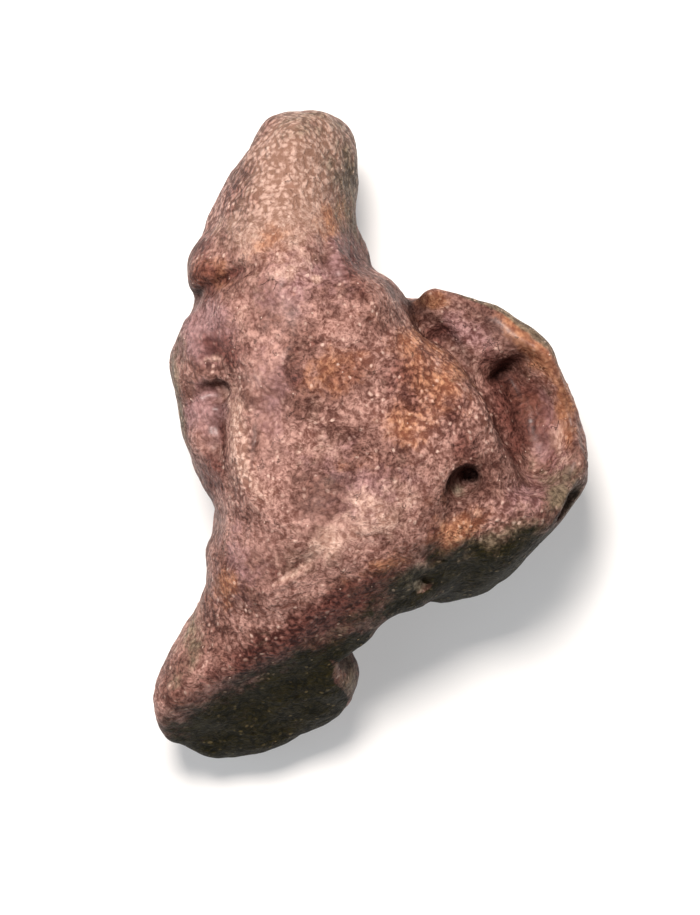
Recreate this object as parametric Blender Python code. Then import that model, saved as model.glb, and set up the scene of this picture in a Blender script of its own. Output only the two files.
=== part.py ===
"""Fossil ear bone of a small dolphin: a left periotic, lying on its ventral side, dorsal side up.

The bone is one dense lump of petrified bone.  It is built here as a single implicit surface: each
anatomical region is a few rounded masses that melt into each other, hollows are carved out, worn
facets are planed off, and the shallow surface marks are laid on last.  The surface is then turned
into one closed faceted mesh.

Layout: +Y is the front (anterior) end, +X is the inner (cochlear) side, +Z is up.  Shapes are laid
out in millimetres and written to the scene in metres.
"""

from dataclasses import dataclass

import bpy
import numpy as np

# ---------------------------------------------------------------------------------------------
# Driving dimensions, in millimetres
# ---------------------------------------------------------------------------------------------
LENGTH = 36.0  # tip of the anterior process to tip of the posterior process, along Y

DOME_TALL = 6.25  # cochlear dome: half heights and half widths of its main mass
DOME_WIDE = 7.9
DOME_LONG = 8.3
BODY_TOP = 15.0  # height of the middle of the bone above the table
MEATUS_MOUTH = 12.4  # internal acoustic meatus: level of its widest part, just above its rim
MEATUS_DEPTH = 5.7  # from there down to its floor
MEATUS_HALF_WIDE = 3.45
MEATUS_HALF_LONG = 4.3
AQUEDUCT_RADIUS = 0.75  # mouth of the vestibular aqueduct, the round pit beside the meatus
RIM_RADIUS = 1.1  # rolled rim round the meatus
CREST_RADIUS = 3.4  # thick crest that runs out along the posterior process
REST_BLEND = 0.15  # softness of the edges of the spots that are worn flat where it rests
REST_SNAP = 0.04  # points this close to the table belong to those flats

# How wide the fillets are where the regions run into each other
TUBEROSITY_BLEND = 0.8
POSTERIOR_BLEND = 1.8
ANTERIOR_BLEND = 1.5
COCHLEAR_BLEND = 0.6

BLOCK_LOW = (-13.0, -19.0, -1.0)  # the block that the bone is modelled in
BLOCK_HIGH = (13.5, 19.0, 17.0)
FINE_CELL = 0.36  # spacing of the sampling grid
COARSE_STEP = 4  # grid cells skipped in the first rough pass
SNUG_ROUNDS = 2  # times the mesh points are drawn onto the surface
MOST_TRIANGLES = 9400
MM = 0.001

NODE = "ear_bone"


# ---------------------------------------------------------------------------------------------
# Forms
# ---------------------------------------------------------------------------------------------
def smooth_min(a, b, blend):
    """Union of two distances, with a fillet about as wide as blend."""
    near = np.maximum(blend - np.abs(a - b), 0.0) / blend
    return np.minimum(a, b) - near * near * blend * 0.25


def smooth_max(a, b, blend):
    """Intersection of two distances, with an edge rounded over about blend."""
    return -smooth_min(-a, -b, blend)


def smooth_path(points, steps):
    """A Catmull-Rom curve through the points."""
    q = np.array(points, float)
    q = np.vstack([2 * q[0] - q[1], q, 2 * q[-1] - q[-2]])
    out = []
    for a, b, c, d in zip(q[:-3], q[1:-2], q[2:-1], q[3:]):
        for t in np.arange(steps) / steps:
            bend = (2 * a - 5 * b + 4 * c - d) * t * t + (3 * b - a - 3 * c + d) * t**3
            out.append(0.5 * (2 * b + (c - a) * t + bend))
    out.append(q[-2])
    return np.array(out)


@dataclass(frozen=True)
class Lump:
    """An ellipsoid, turned about Z by turn degrees."""

    centre: tuple
    radii: tuple
    turn: float = 0.0
    blend: float = 1.0

    def depth(self, p):
        q = p - np.array(self.centre, p.dtype)
        c, s = np.cos(np.radians(self.turn)), np.sin(np.radians(self.turn))
        spin = np.array([[c, -s, 0.0], [s, c, 0.0], [0.0, 0.0, 1.0]], p.dtype)
        q = q @ spin
        r = np.array(self.radii, p.dtype)
        k0 = np.sqrt(((q / r) ** 2).sum(-1))
        k1 = np.sqrt(((q / (r * r)) ** 2).sum(-1))
        return k0 * (k0 - 1.0) / np.maximum(k1, 1e-6)


@dataclass(frozen=True)
class Rope:
    """A rounded welt along a bent line.  Each point is x, y, z and the radius there."""

    points: tuple
    blend: float = 1.0

    def depth(self, p):
        path = smooth_path(self.points, 1 if len(self.points) == 2 else 4).astype(p.dtype)
        best = np.full(p.shape[:-1], 1e9, p.dtype)
        for a, b in zip(path[:-1], path[1:]):
            run = b[:3] - a[:3]
            t = np.clip(((p - a[:3]) @ run) / (run @ run), 0.0, 1.0)
            off = p - a[:3] - t[..., None] * run
            best = np.minimum(best, np.sqrt((off**2).sum(-1)) - (a[3] + (b[3] - a[3]) * t))
        return best


@dataclass(frozen=True)
class Facet:
    """A plane: bone is kept on the side that its normal points away from."""

    point: tuple
    normal: tuple
    blend: float = 1.0

    def depth(self, p):
        n = np.array(self.normal, float)
        n = (n / np.linalg.norm(n)).astype(p.dtype)
        return (p - np.array(self.point, p.dtype)) @ n


@dataclass(frozen=True)
class Bench:
    """What a sloping cut takes away inside the reach of a lump."""

    reach: Lump
    floor: Facet
    blend: float = 1.0

    def depth(self, p):
        return smooth_max(self.reach.depth(p), -self.floor.depth(p), 0.5)


@dataclass(frozen=True)
class Mark:
    """A soft welt, or below zero a furrow, laid on the upper side along a line given in plan."""

    path: tuple
    width: float
    height: float
    floor: float = 7.0

    def lift(self, p):
        path = smooth_path(self.path, 3).astype(p.dtype)
        reach = 2.6 * self.width
        low, high = path.min(0) - reach, path.max(0) + reach
        plan = p[..., :2]
        near = np.all((plan > low) & (plan < high), axis=-1) & (p[..., 2] > self.floor)
        out = np.zeros(p.shape[:-1], p.dtype)
        if not near.any():
            return out
        plan = plan[near]
        best = np.full(len(plan), 1e9, p.dtype)
        along = np.zeros_like(best)
        for i, (a, b) in enumerate(zip(path[:-1], path[1:])):
            t = np.clip(((plan - a) @ (b - a)) / ((b - a) @ (b - a)), 0.0, 1.0)
            off = ((plan - a - t[:, None] * (b - a)) ** 2).sum(-1)
            along = np.where(off < best, (i + t) / (len(path) - 1), along)
            best = np.minimum(best, off)
        fade = 1.0 - 0.8 * np.abs(2.0 * along - 1.0) ** 3
        upper = np.clip((p[near][:, 2] - self.floor) / 1.5, 0.0, 1.0)
        out[near] = self.height * np.exp(-best / self.width**2) * fade * upper
        return out


def grow(d, p, *forms):
    """Adds masses."""
    for form in forms:
        d = form.depth(p) if d is None else smooth_min(d, form.depth(p), form.blend)
    return d


def carve(d, p, *forms):
    """Takes masses away."""
    for form in forms:
        d = smooth_max(d, -form.depth(p), form.blend)
    return d


def plane_off(d, p, *facets):
    """Planes flat facets off."""
    for facet in facets:
        d = smooth_max(d, facet.depth(p), facet.blend)
    return d


# ---------------------------------------------------------------------------------------------
# The regions of the bone
# ---------------------------------------------------------------------------------------------
def anterior_process(p):
    """The blunt snout at +Y, with a steep flank on its inner side and a knuckle on its outer side."""
    d = grow(
        None,
        p,
        Lump((-3.6, 13.65, 6.6), (3.05, 4.05, 5.2), 8.0),
        Lump((-4.6, 11.3, 6.1), (4.05, 4.4, 6.25), -14.0, 1.4),
        Lump((-4.2, 8.0, 8.4), (4.7, 4.6, 6.0), 0.0, 2.0),
        Lump((-2.15, 15.55, 6.8), (1.75, 2.2, 3.0), 10.0, 1.2),
        Lump((-7.85, 8.85, 8.0), (2.0, 2.0, 3.2), -12.0, 1.2),
        Lump((-1.15, 9.9, 7.6), (2.3, 2.1, 3.2), 10.0, 0.8),
    )
    return plane_off(d, p, Facet((-1.2, 12.5, 9.5), (0.90, 0.05, 0.38), 2.4))


def body(p):
    """The middle of the bone: a broad back that breaks off steeply above the meatus."""
    d = grow(
        None,
        p,
        Lump((-2.8, 3.4, 8.7), (6.2, 7.4, BODY_TOP - 8.7), 10.0),
        Lump((1.2, -0.6, 8.8), (8.2, 7.0, 5.7), -30.0, 2.5),
        Lump((0.2, -4.6, 9.2), (4.9, 4.2, 5.4), 28.0, 2.5),
        Lump((-4.3, -3.0, 8.6), (4.2, 6.0, 5.6), 0.0, 2.5),
    )
    d = plane_off(
        d,
        p,
        Facet((3.85, 4.45, 12.0), (0.64, 0.77, 0.05), 0.7),
        Facet((6.45, 1.05, 12.0), (0.88, 0.47, 0.05), 0.7),
    )
    return grow(d, p, Lump((-0.35, 6.6, 9.2), (2.35, 2.4, 4.6), 0.0, 1.5))


def lateral_tuberosity(p):
    """The two low swellings on the outer side."""
    return grow(
        None,
        p,
        Lump((-8.1, 4.2, 8.0), (2.75, 3.3, 3.6)),
        Lump((-7.8, 0.4, 7.4), (2.4, 4.0, 3.6), 6.0),
    )


def posterior_process(p):
    """The thick limb that runs back and outward, with a crest above and a foot below."""
    r = CREST_RADIUS
    crest = (
        (2.2, -5.7, 9.8, r - 0.1),
        (-0.5, -7.4, 9.5, r),
        (-3.4, -9.4, 8.7, r),
        (-6.2, -11.6, 7.3, r - 0.3),
        (-8.85, -14.6, 6.0, r - 0.5),
    )
    d = grow(
        None,
        p,
        Lump((-4.0, -7.2, 7.6), (4.5, 4.0, 5.6)),
        Rope(((-4.5, -7.5, 8.0, 3.8), (-6.6, -10.8, 7.0, 3.3), (-8.5, -14.1, 6.0, 2.8)), 1.2),
        Rope(crest, 1.0),
        Lump((-6.1, -14.2, 4.6), (5.6, 3.8, 4.75), 21.0, 1.2),
    )
    # the foot runs to a blunt point at the far end
    return plane_off(
        d,
        p,
        Facet((-5.9, -17.5, 4.0), (0.31, -0.95, 0.0), 0.8),
        Facet((-10.75, -17.05, 4.0), (-0.60, -0.80, 0.0), 0.8),
    )


def cochlear_part(p):
    """The round promontory on the inner side, its rolled rim, and the meatus sunk into it."""
    r = RIM_RADIUS
    rim = (
        (3.7, 6.55, 8.4, r + 0.25),
        (6.0, 6.2, 8.0, r + 0.1),
        (8.0, 4.9, 8.1, r),
        (9.45, 2.95, 8.6, r - 0.1),
        (10.35, 0.8, 8.9, r - 0.35),
        (10.95, -1.5, 9.2, r - 0.3),
    )
    d = grow(
        None,
        p,
        Lump((3.5, -0.8, 6.1), (DOME_WIDE, DOME_LONG, DOME_TALL)),
        Lump((7.55, 0.2, 7.2), (3.75, 5.2, 3.6), 10.0, 1.5),
        Lump((7.2, -4.0, 8.4), (4.4, 3.4, 4.2), 30.0, 2.0),
        Rope(rim, 0.8),
    )
    d = plane_off(d, p, Facet((9.4, -6.4, 7.0), (0.70, -0.71, 0.05), 1.5))
    # A shelf behind the rim, then the bowl of the meatus, with a dark slot under the shelf's end and
    # a bank of crumbly bone along the foot of the steep edge of the body.
    shelf = Lump((4.8, 4.3, 12.0), (4.4, 2.6, 6.0), -34.0)
    bowl = Lump(
        (8.25, 0.9, MEATUS_MOUTH), (MEATUS_HALF_WIDE, MEATUS_HALF_LONG, MEATUS_DEPTH), 18.0, 1.0
    )
    floor = MEATUS_MOUTH - MEATUS_DEPTH
    bank = (
        (5.6, 2.6, floor + 0.3, 1.3),
        (6.15, 1.4, floor + 0.5, 1.4),
        (6.7, 0.3, floor + 0.6, 1.3),
        (7.3, -0.8, floor + 0.9, 0.9),
    )
    d = carve(
        d,
        p,
        Bench(shelf, Facet((4.9, 4.9, 8.6), (-0.17, -0.20, 0.96)), 1.4),
        bowl,
        Lump((6.9, 3.05, 10.6), (1.85, 0.95, 4.3), 24.0, 1.2),
    )
    return grow(d, p, Rope(bank, 1.3))


# The steep worn face behind the crest, in two halves that meet at a very flat angle
BACK_FACETS = (
    Facet((-4.07, -11.48, 11.1), (0.11, -0.78, 0.57), 0.5),
    Facet((-4.07, -11.48, 11.1), (0.33, -0.75, 0.57), 0.5),
)

UPPER_OPENINGS = (
    # aperture of the vestibular aqueduct
    Lump((5.15, -2.75, 13.6), (AQUEDUCT_RADIUS + 0.2, AQUEDUCT_RADIUS, 1.7), 30.0, 0.6),
    Rope(((5.3, -2.55, 13.0, 0.5), (5.55, -2.3, 11.4, 0.4)), 0.8),
    # crevice between the shelf and the body
    Rope(((2.75, 5.95, 9.9, 0.45), (3.7, 5.2, 8.6, 0.65), (4.9, 4.0, 8.9, 0.35)), 0.6),
    # opening on the inner corner, below the end of the rim
    Lump((10.9, -3.8, 9.8), (1.3, 0.65, 1.2), 40.0, 0.4),
    # oval pit in the tuberosity
    Lump((-8.65, 2.4, 11.35), (0.8, 0.66, 0.8), 10.0, 0.35),
    # cleft between the anterior process and the lateral tuberosity
    Rope(((-10.7, 6.7, 6.0, 0.5), (-9.9, 7.3, 9.6, 0.3)), 0.6),
    # waist between the foot of the posterior process and the promontory
    Rope(((1.7, -11.3, 0.0, 1.5), (1.7, -11.3, 14.0, 1.5)), 0.6),
    # waist between the tuberosity and the posterior process
    Rope(((-10.0, -4.7, 4.0, 1.1), (-9.1, -4.6, 12.0, 1.1)), 0.8),
)

VENTRAL_OPENINGS = (
    # mallear fossa
    Lump((-5.2, 2.8, 1.7), (2.3, 2.4, 2.0), 0.0, 0.4),
    # fenestra ovalis
    Lump((-3.0, 0.0, 2.2), (1.3, 0.9, 1.3), 20.0, 0.3),
    # opening of the facial canal, and the furrow that leads back from it
    Rope(((-3.6, 3.6, 1.5, 0.6), (-1.6, 4.6, 5.0, 0.5)), 0.3),
    Rope(((-4.0, -1.4, 2.0, 0.6), (-4.3, -4.0, 1.9, 0.65), (-3.8, -7.0, 1.7, 0.6)), 0.5),
    # fossa incudis
    Rope(((-6.6, -3.8, 1.8, 0.6), (-6.4, -3.4, 4.4, 0.4)), 0.3),
    # stapedial muscle fossa
    Lump((0.2, -7.2, 3.2), (1.9, 1.5, 1.8), 20.0, 0.5),
    # posterior and anterior facets for the bulla
    Lump((-4.6, -10.6, 0.2), (1.6, 3.0, 1.9), -35.0, 0.5),
    Rope(((-2.4, 14.6, 1.6, 0.6), (-2.2, 12.0, 0.9, 0.7), (-2.6, 9.2, 1.4, 0.6)), 0.5),
    # fenestra rotunda
    Lump((2.9, -8.6, 5.6), (1.1, 1.2, 0.9), 0.0, 0.3),
)

MARKS = (
    # oval knob on the inner side of the neck, and the step beside it
    Mark(((-2.0, 10.8), (-1.6, 9.7), (-1.3, 8.5)), 0.7, 0.25),
    Mark(((-2.5, 10.9), (-2.6, 9.5), (-2.0, 8.2)), 0.35, -0.14),
    # furrow that carries on the cleft over the neck
    Mark(((-10.0, 7.1), (-8.9, 7.9), (-7.8, 8.4), (-6.8, 9.0), (-5.6, 9.4)), 0.5, -0.55),
    # curved ridge over the back with a dip behind it
    Mark(((-5.8, 2.7), (-4.3, 4.6), (-1.8, 5.3), (0.9, 4.6), (2.3, 2.7)), 0.6, 0.16),
    Mark(((-3.7, 2.2), (-1.8, 2.9), (0.2, 2.5)), 1.2, -0.25),
    # wrinkles across the back
    Mark(((-2.4, -1.6), (-0.6, -0.9), (1.2, 0.7)), 0.35, 0.06),
    Mark(((-1.8, -0.8), (0.0, -0.1), (1.6, 1.5)), 0.3, -0.07),
    # smooth boss in front of the crest
    Mark(((-0.4, -2.5), (0.4, -4.1), (0.2, -6.0)), 1.4, 0.25),
    # small ledge and the hollow above it
    Mark(((-5.8, -8.5), (-4.3, -7.8), (-2.7, -6.7)), 0.25, 0.10),
    Mark(((-4.9, -7.6), (-3.7, -7.0), (-2.4, -6.1)), 0.45, -0.20),
    # long furrow between the tuberosity and the back, with a low welt inside it
    Mark(((-7.4, 3.4), (-7.8, 1.6), (-7.9, -0.2), (-7.6, -1.8), (-7.2, -3.6)), 0.5, -0.40),
    Mark(((-7.0, 3.0), (-7.0, 0.6), (-6.5, -2.8)), 0.6, 0.20),
    Mark(((-6.5, 7.4), (-7.3, 5.2), (-7.6, 2.7)), 0.7, -0.15),
    # nicks on the tuberosity
    Mark(((-9.6, 3.3), (-8.4, 3.3)), 0.4, 0.14),
    Mark(((-9.2, 0.7), (-7.9, 0.5)), 0.3, -0.12),
    Mark(((-9.2, -0.4), (-7.9, -0.6)), 0.3, -0.12),
    # valley that runs down from the round pit, and the swelling on its inner side
    Mark(((4.8, -3.6), (4.0, -5.2), (3.1, -7.0)), 0.8, -0.40),
    Mark(((5.6, -5.0), (7.8, -3.9), (9.7, -2.7)), 0.9, 0.15),
    # low swelling on the inner side of the foot
    Mark(((-1.5, -12.3), (-1.8, -13.5), (-2.4, -14.7)), 0.9, 0.3, 2.0),
    # cleft at the inner end of the crest
    Mark(((2.8, -7.5), (3.3, -8.4)), 0.35, -0.35, 6.0),
)


def unevenness(p):
    """Bends space by a few tenths of a millimetre, so that no edge runs true."""
    x, y, z = p[..., 0], p[..., 1], p[..., 2]
    s = np.sin
    dx = 0.14 * s(0.83 * y + 0.61 * z + 1.3)
    dy = 0.14 * s(0.76 * x - 0.68 * z + 2.1)
    dz = 0.10 * s(0.69 * x + 0.83 * y + 5.2)
    dx = dx + 0.07 * s(1.93 * y + 0.7 * x + 4.1) * s(1.31 * z - 0.6 * x + 0.9)
    dy = dy + 0.07 * s(1.81 * x - 0.8 * y + 0.7) * s(1.54 * z + 0.5 * y + 2.2)
    dz = dz + 0.08 * s(1.72 * x + 0.5 * z + 3.3) * s(1.57 * y - 0.7 * x + 1.7)
    return p + np.stack([dx, dy, dz], -1).astype(p.dtype)


def bone(p):
    """Distance to the whole bone's surface, negative inside."""
    p = unevenness(p)
    d = body(p)
    d = smooth_min(d, lateral_tuberosity(p), TUBEROSITY_BLEND)
    d = smooth_min(d, posterior_process(p), POSTERIOR_BLEND)
    d = plane_off(d, p, *BACK_FACETS)
    d = smooth_min(d, anterior_process(p), ANTERIOR_BLEND)
    d = smooth_min(d, cochlear_part(p), COCHLEAR_BLEND)
    d = carve(d, p, *UPPER_OPENINGS)
    d = carve(d, p, *VENTRAL_OPENINGS)
    for mark in MARKS:
        d = d - mark.lift(p)
    return d


def resting_bone(p):
    """The bone with its three lowest spots worn flat on the table plane."""
    return plane_off(bone(p), p, Facet((0.0, 0.0, 0.0), (0.0, 0.0, -1.0), REST_BLEND))


# ---------------------------------------------------------------------------------------------
# From the distance to a mesh
# ---------------------------------------------------------------------------------------------
def sampled(distance, low, high, cell, coarse):
    """The distance on a regular grid, worked out closely only near the surface."""
    low = np.array(low, float)
    big = cell * coarse
    count = np.ceil((np.array(high) - low) / big).astype(int)
    axes = [low[i] + big * (np.arange(count[i]) + 0.5) for i in range(3)]
    grid = np.stack(np.meshgrid(*axes, indexing="ij"), -1).astype(np.float32)
    rough = distance(grid.reshape(-1, 3)).reshape(count)

    def widen(a):
        for axis in range(3):
            a = np.repeat(a, coarse, axis)
        return a

    near = np.argwhere(widen(np.abs(rough) < 1.8 * big))
    values = widen(rough).astype(np.float32)
    start = low + cell * 0.5
    values[tuple(near.T)] = distance((start + near * cell).astype(np.float32))
    return values, start


def without_pinches(values, cell):
    """Fills the grid corners where two parts of the surface would touch along a single edge."""
    values = values.copy()
    for _ in range(20):
        inside = values < 0
        pinched = np.zeros_like(inside)
        for u, w in ((0, 1), (1, 2), (2, 0)):
            spans = []
            for i, j in ((0, 0), (1, 0), (0, 1), (1, 1)):
                span = [slice(None)] * 3
                span[u] = slice(i, inside.shape[u] - 1 + i)
                span[w] = slice(j, inside.shape[w] - 1 + j)
                spans.append(tuple(span))
            a, b, c, d = (inside[span] for span in spans)
            pinched[spans[1]] |= a & d & ~b & ~c
            pinched[spans[0]] |= b & c & ~a & ~d
        if not pinched.any():
            break
        values[pinched] = -0.1 * cell
    return values


def surface_net(values, start, cell):
    """One vertex in every grid cube that the surface crosses, and a quad across every crossed edge."""
    inside = values < 0
    shape = np.array(values.shape)
    corners = [(i, j, k) for i in (0, 1) for j in (0, 1) for k in (0, 1)]

    def shifted(c):
        return inside[c[0] : shape[0] - 1 + c[0], c[1] : shape[1] - 1 + c[1], c[2] : shape[2] - 1 + c[2]]

    filled = sum(shifted(c).astype(np.int8) for c in corners)
    crossed = (filled > 0) & (filled < 8)
    cubes = np.argwhere(crossed)
    number = -np.ones(crossed.shape, np.int64)
    number[tuple(cubes.T)] = np.arange(len(cubes))

    total = np.zeros((len(cubes), 3))
    hits = np.zeros(len(cubes))
    for a in corners:
        for axis in range(3):
            if a[axis]:
                continue
            b = list(a)
            b[axis] = 1
            va = values[tuple((cubes + a).T)]
            vb = values[tuple((cubes + b).T)]
            cross = (va < 0) != (vb < 0)
            share = np.where(cross, va / np.where(cross, va - vb, 1.0), 0.0)
            total += (np.array(a, float) + share[:, None] * np.eye(3)[axis]) * cross[:, None]
            hits += cross
    points = start + (cubes + total / hits[:, None]) * cell

    quads = []
    for axis in range(3):
        u, w = ((1, 2), (2, 0), (0, 1))[axis]
        step = [0, 0, 0]
        step[axis] = 1
        here = inside[1:-1, 1:-1, 1:-1]
        there = inside[tuple(slice(1 + step[i], shape[i] - 1 + step[i]) for i in range(3))]
        edge = np.argwhere(here != there) + 1
        eu, ew = np.eye(3, dtype=int)[u], np.eye(3, dtype=int)[w]
        ring = [number[tuple((edge - back).T)] for back in (eu + ew, ew, 0 * eu, eu)]
        quad = np.stack(ring, 1)
        outward = inside[tuple(edge.T)]
        quads.append(np.where(outward[:, None], quad, quad[:, ::-1]))
    return points, np.concatenate(quads)


def drawn_onto(distance, points, rounds):
    """Moves points along the slope of the distance until they lie on the surface."""
    h = 0.03
    legs = np.array([[1, -1, -1], [-1, -1, 1], [-1, 1, -1], [1, 1, 1]], np.float32)
    for _ in range(rounds):
        p = points.astype(np.float32)
        slope = sum(leg * distance(p + leg * h)[:, None] for leg in legs) / (4 * h)
        step = distance(p) / np.maximum((slope**2).sum(-1), 0.3)
        points = points - slope * step[:, None]
    return points


def mesh_object(name, points, faces):
    mesh = bpy.data.meshes.new(name)
    mesh.from_pydata([tuple(map(float, p)) for p in points], [], [tuple(map(int, f)) for f in faces])
    mesh.validate()
    obj = bpy.data.objects.new(name, mesh)
    bpy.context.scene.collection.objects.link(obj)
    return obj


def petrified_bone():
    """Dense fossil bone, worn and mineral stained."""
    material = bpy.data.materials.new("petrified_bone")
    material.use_nodes = True
    shader = material.node_tree.nodes["Principled BSDF"]
    shader.inputs["Base Color"].default_value = (0.23, 0.13, 0.10, 1.0)
    shader.inputs["Roughness"].default_value = 0.55
    shader.inputs["IOR"].default_value = 1.54
    return material


def main():
    for old in list(bpy.data.objects):
        bpy.data.objects.remove(old, do_unlink=True)

    values, start = sampled(resting_bone, BLOCK_LOW, BLOCK_HIGH, FINE_CELL, COARSE_STEP)
    values = without_pinches(values, FINE_CELL)
    points, quads = surface_net(values, start, FINE_CELL)
    points = drawn_onto(resting_bone, points, SNUG_ROUNDS)
    fine = mesh_object("fine_bone", points, quads)

    # Fewer, larger facets where the bone is smooth, small ones round its openings.
    thin = fine.modifiers.new("fewer_facets", "DECIMATE")
    thin.ratio = MOST_TRIANGLES / (2 * len(quads))
    graph = bpy.context.evaluated_depsgraph_get()
    mesh = bpy.data.meshes.new_from_object(fine.evaluated_get(graph))
    bpy.data.objects.remove(fine, do_unlink=True)

    co = np.empty(len(mesh.vertices) * 3)
    mesh.vertices.foreach_get("co", co)
    co = co.reshape(-1, 3)
    co[co[:, 2] < REST_SNAP, 2] = 0.0
    low, high = co.min(0), co.max(0)
    co[:, :2] -= (low[:2] + high[:2]) / 2
    co *= LENGTH / (high[1] - low[1]) * MM
    mesh.vertices.foreach_set("co", co.reshape(-1))
    mesh.update()

    ear_bone = bpy.data.objects.new(NODE, mesh)
    ear_bone.data.name = NODE
    bpy.context.scene.collection.objects.link(ear_bone)
    ear_bone.data.materials.clear()
    ear_bone.data.materials.append(petrified_bone())


if __name__ == "__main__":
    main()
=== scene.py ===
"""Dressed model of a fossil ear bone of a small dolphin, lying on its ventral side.

The bone is a left periotic: a blunt anterior process at +Y, a thick posterior process at -Y, and a
round cochlear part at +X with the internal acoustic meatus sunk into it.  The whole surface is
modelled as one implicit form in millimetres, turned into a fine mesh, given its grain, pores and
crumbs with geometry nodes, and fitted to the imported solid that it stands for.
"""

import logging
from collections.abc import Callable, Sequence
from dataclasses import dataclass, field, replace
from enum import Enum
from functools import partial
from typing import Any

import bpy
import numpy as np
from mathutils import Matrix, Vector


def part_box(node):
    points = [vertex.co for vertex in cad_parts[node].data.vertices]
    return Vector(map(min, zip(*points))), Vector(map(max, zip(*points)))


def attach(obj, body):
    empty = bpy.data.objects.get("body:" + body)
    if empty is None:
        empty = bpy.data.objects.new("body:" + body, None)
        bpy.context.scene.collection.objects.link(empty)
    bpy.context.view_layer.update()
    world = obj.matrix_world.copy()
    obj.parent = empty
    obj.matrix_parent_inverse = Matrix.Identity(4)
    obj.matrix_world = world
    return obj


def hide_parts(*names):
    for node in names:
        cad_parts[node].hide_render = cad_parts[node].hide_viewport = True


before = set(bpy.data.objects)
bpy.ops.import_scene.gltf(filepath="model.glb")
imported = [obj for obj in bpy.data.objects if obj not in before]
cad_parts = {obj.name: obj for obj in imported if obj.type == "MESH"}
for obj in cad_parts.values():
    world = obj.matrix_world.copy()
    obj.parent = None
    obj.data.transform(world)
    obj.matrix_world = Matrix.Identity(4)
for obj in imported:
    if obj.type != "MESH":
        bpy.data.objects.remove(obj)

LOG = logging.getLogger("fossil_ear_bone")
NODE = "ear_bone"
BODY = "root"
MM = 0.001
TINY = 1e-6  # keeps a division away from zero
FAR = 1e9  # further than any point of the bone
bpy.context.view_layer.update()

Field = Callable[[np.ndarray], np.ndarray]
Point3 = tuple[float, float, float]
Span = tuple[float, float]
Add = Callable[..., bpy.types.Node]
Sources = dict[str, Any]  # nodes and sockets by name


# ---- Small helpers ----
def srgb(code: str) -> tuple[float, float, float, float]:
    """Turns a hex colour into linear light.

    Args:
        code: a colour such as "#8b5a45".

    Returns:
        Linear red, green, blue and an alpha of one.
    """
    raw = [int(code[i : i + 2], 16) / 255 for i in (1, 3, 5)]
    red, green, blue = (c / 12.92 if c <= 0.04045 else ((c + 0.055) / 1.055) ** 2.4 for c in raw)
    return red, green, blue, 1.0


def add_node(
    tree: bpy.types.NodeTree,
    kind: str,
    links: dict[int | str, Any] | None = None,
    **settings: Any,
) -> bpy.types.Node:
    """Adds one node.

    Args:
        tree: the tree that the node goes into.
        kind: Blender's name for the kind of node.
        links: for each input, by name or index, a plain value, an output, or a node whose first
            working output feeds it.
        settings: properties of the node.

    Returns:
        The new node.
    """
    node = tree.nodes.new(kind)
    for name, value in settings.items():
        setattr(node, name, value)
    for key, value in (links or {}).items():
        named = [socket for socket in node.inputs if socket.name == key and socket.enabled]
        socket = named[0] if named else node.inputs[key]
        if isinstance(value, bpy.types.Node):
            value = next(output for output in value.outputs if output.enabled)
        if isinstance(value, bpy.types.NodeSocket):
            tree.links.new(value, socket)
        else:
            socket.default_value = value
    return node


def smooth_min(a: np.ndarray, b: np.ndarray, blend: float) -> np.ndarray:
    """Union of two distances with a fillet.

    Args:
        a: the first distance.
        b: the second distance.
        blend: about how wide the fillet is.

    Returns:
        The joined distance.
    """
    near = np.maximum(blend - np.abs(a - b), 0.0) / blend
    return np.minimum(a, b) - near * near * blend * 0.25


def smooth_max(a: np.ndarray, b: np.ndarray, blend: float) -> np.ndarray:
    """Intersection of two distances with a rounded edge.

    Args:
        a: the first distance.
        b: the second distance.
        blend: about how wide the rounding is.

    Returns:
        The shared distance.
    """
    return -smooth_min(-a, -b, blend)


def smooth_path(points: Sequence[Sequence[float]], steps: int) -> np.ndarray:
    """Runs a Catmull-Rom curve through points.

    Args:
        points: the points, of any number of dimensions.
        steps: how many pieces each span gets.

    Returns:
        The points of the curve.
    """
    q = np.array(points, float)
    q = np.vstack([2 * q[0] - q[1], q, 2 * q[-1] - q[-2]])
    out = []
    for a, b, c, d in zip(q[:-3], q[1:-2], q[2:-1], q[3:]):
        for t in np.arange(steps) / steps:
            bend = (2 * a - 5 * b + 4 * c - d) * t * t + (3 * b - a - 3 * c + d) * t**3
            out.append(0.5 * (2 * b + (c - a) * t + bend))
    out.append(q[-2])
    return np.array(out)


# ---- Forms that the bone is modelled from, in millimetres ----
@dataclass(frozen=True)
class Lump:
    """An ellipsoid, turned about Z by turn degrees."""

    centre: Point3
    radii: Point3
    turn: float = 0.0
    blend: float = 1.0

    def depth(self, p: np.ndarray) -> np.ndarray:
        """Measures how far points lie from the surface.

        Args:
            p: points in millimetres.

        Returns:
            The distance of each point, negative inside.
        """
        q = p - np.array(self.centre, p.dtype)
        c, s = np.cos(np.radians(self.turn)), np.sin(np.radians(self.turn))
        q = q @ np.array([[c, -s, 0.0], [s, c, 0.0], [0.0, 0.0, 1.0]], p.dtype)
        r = np.array(self.radii, p.dtype)
        k0 = np.sqrt(((q / r) ** 2).sum(-1))
        k1 = np.sqrt(((q / (r * r)) ** 2).sum(-1))
        return k0 * (k0 - 1.0) / np.maximum(k1, TINY)


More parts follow.
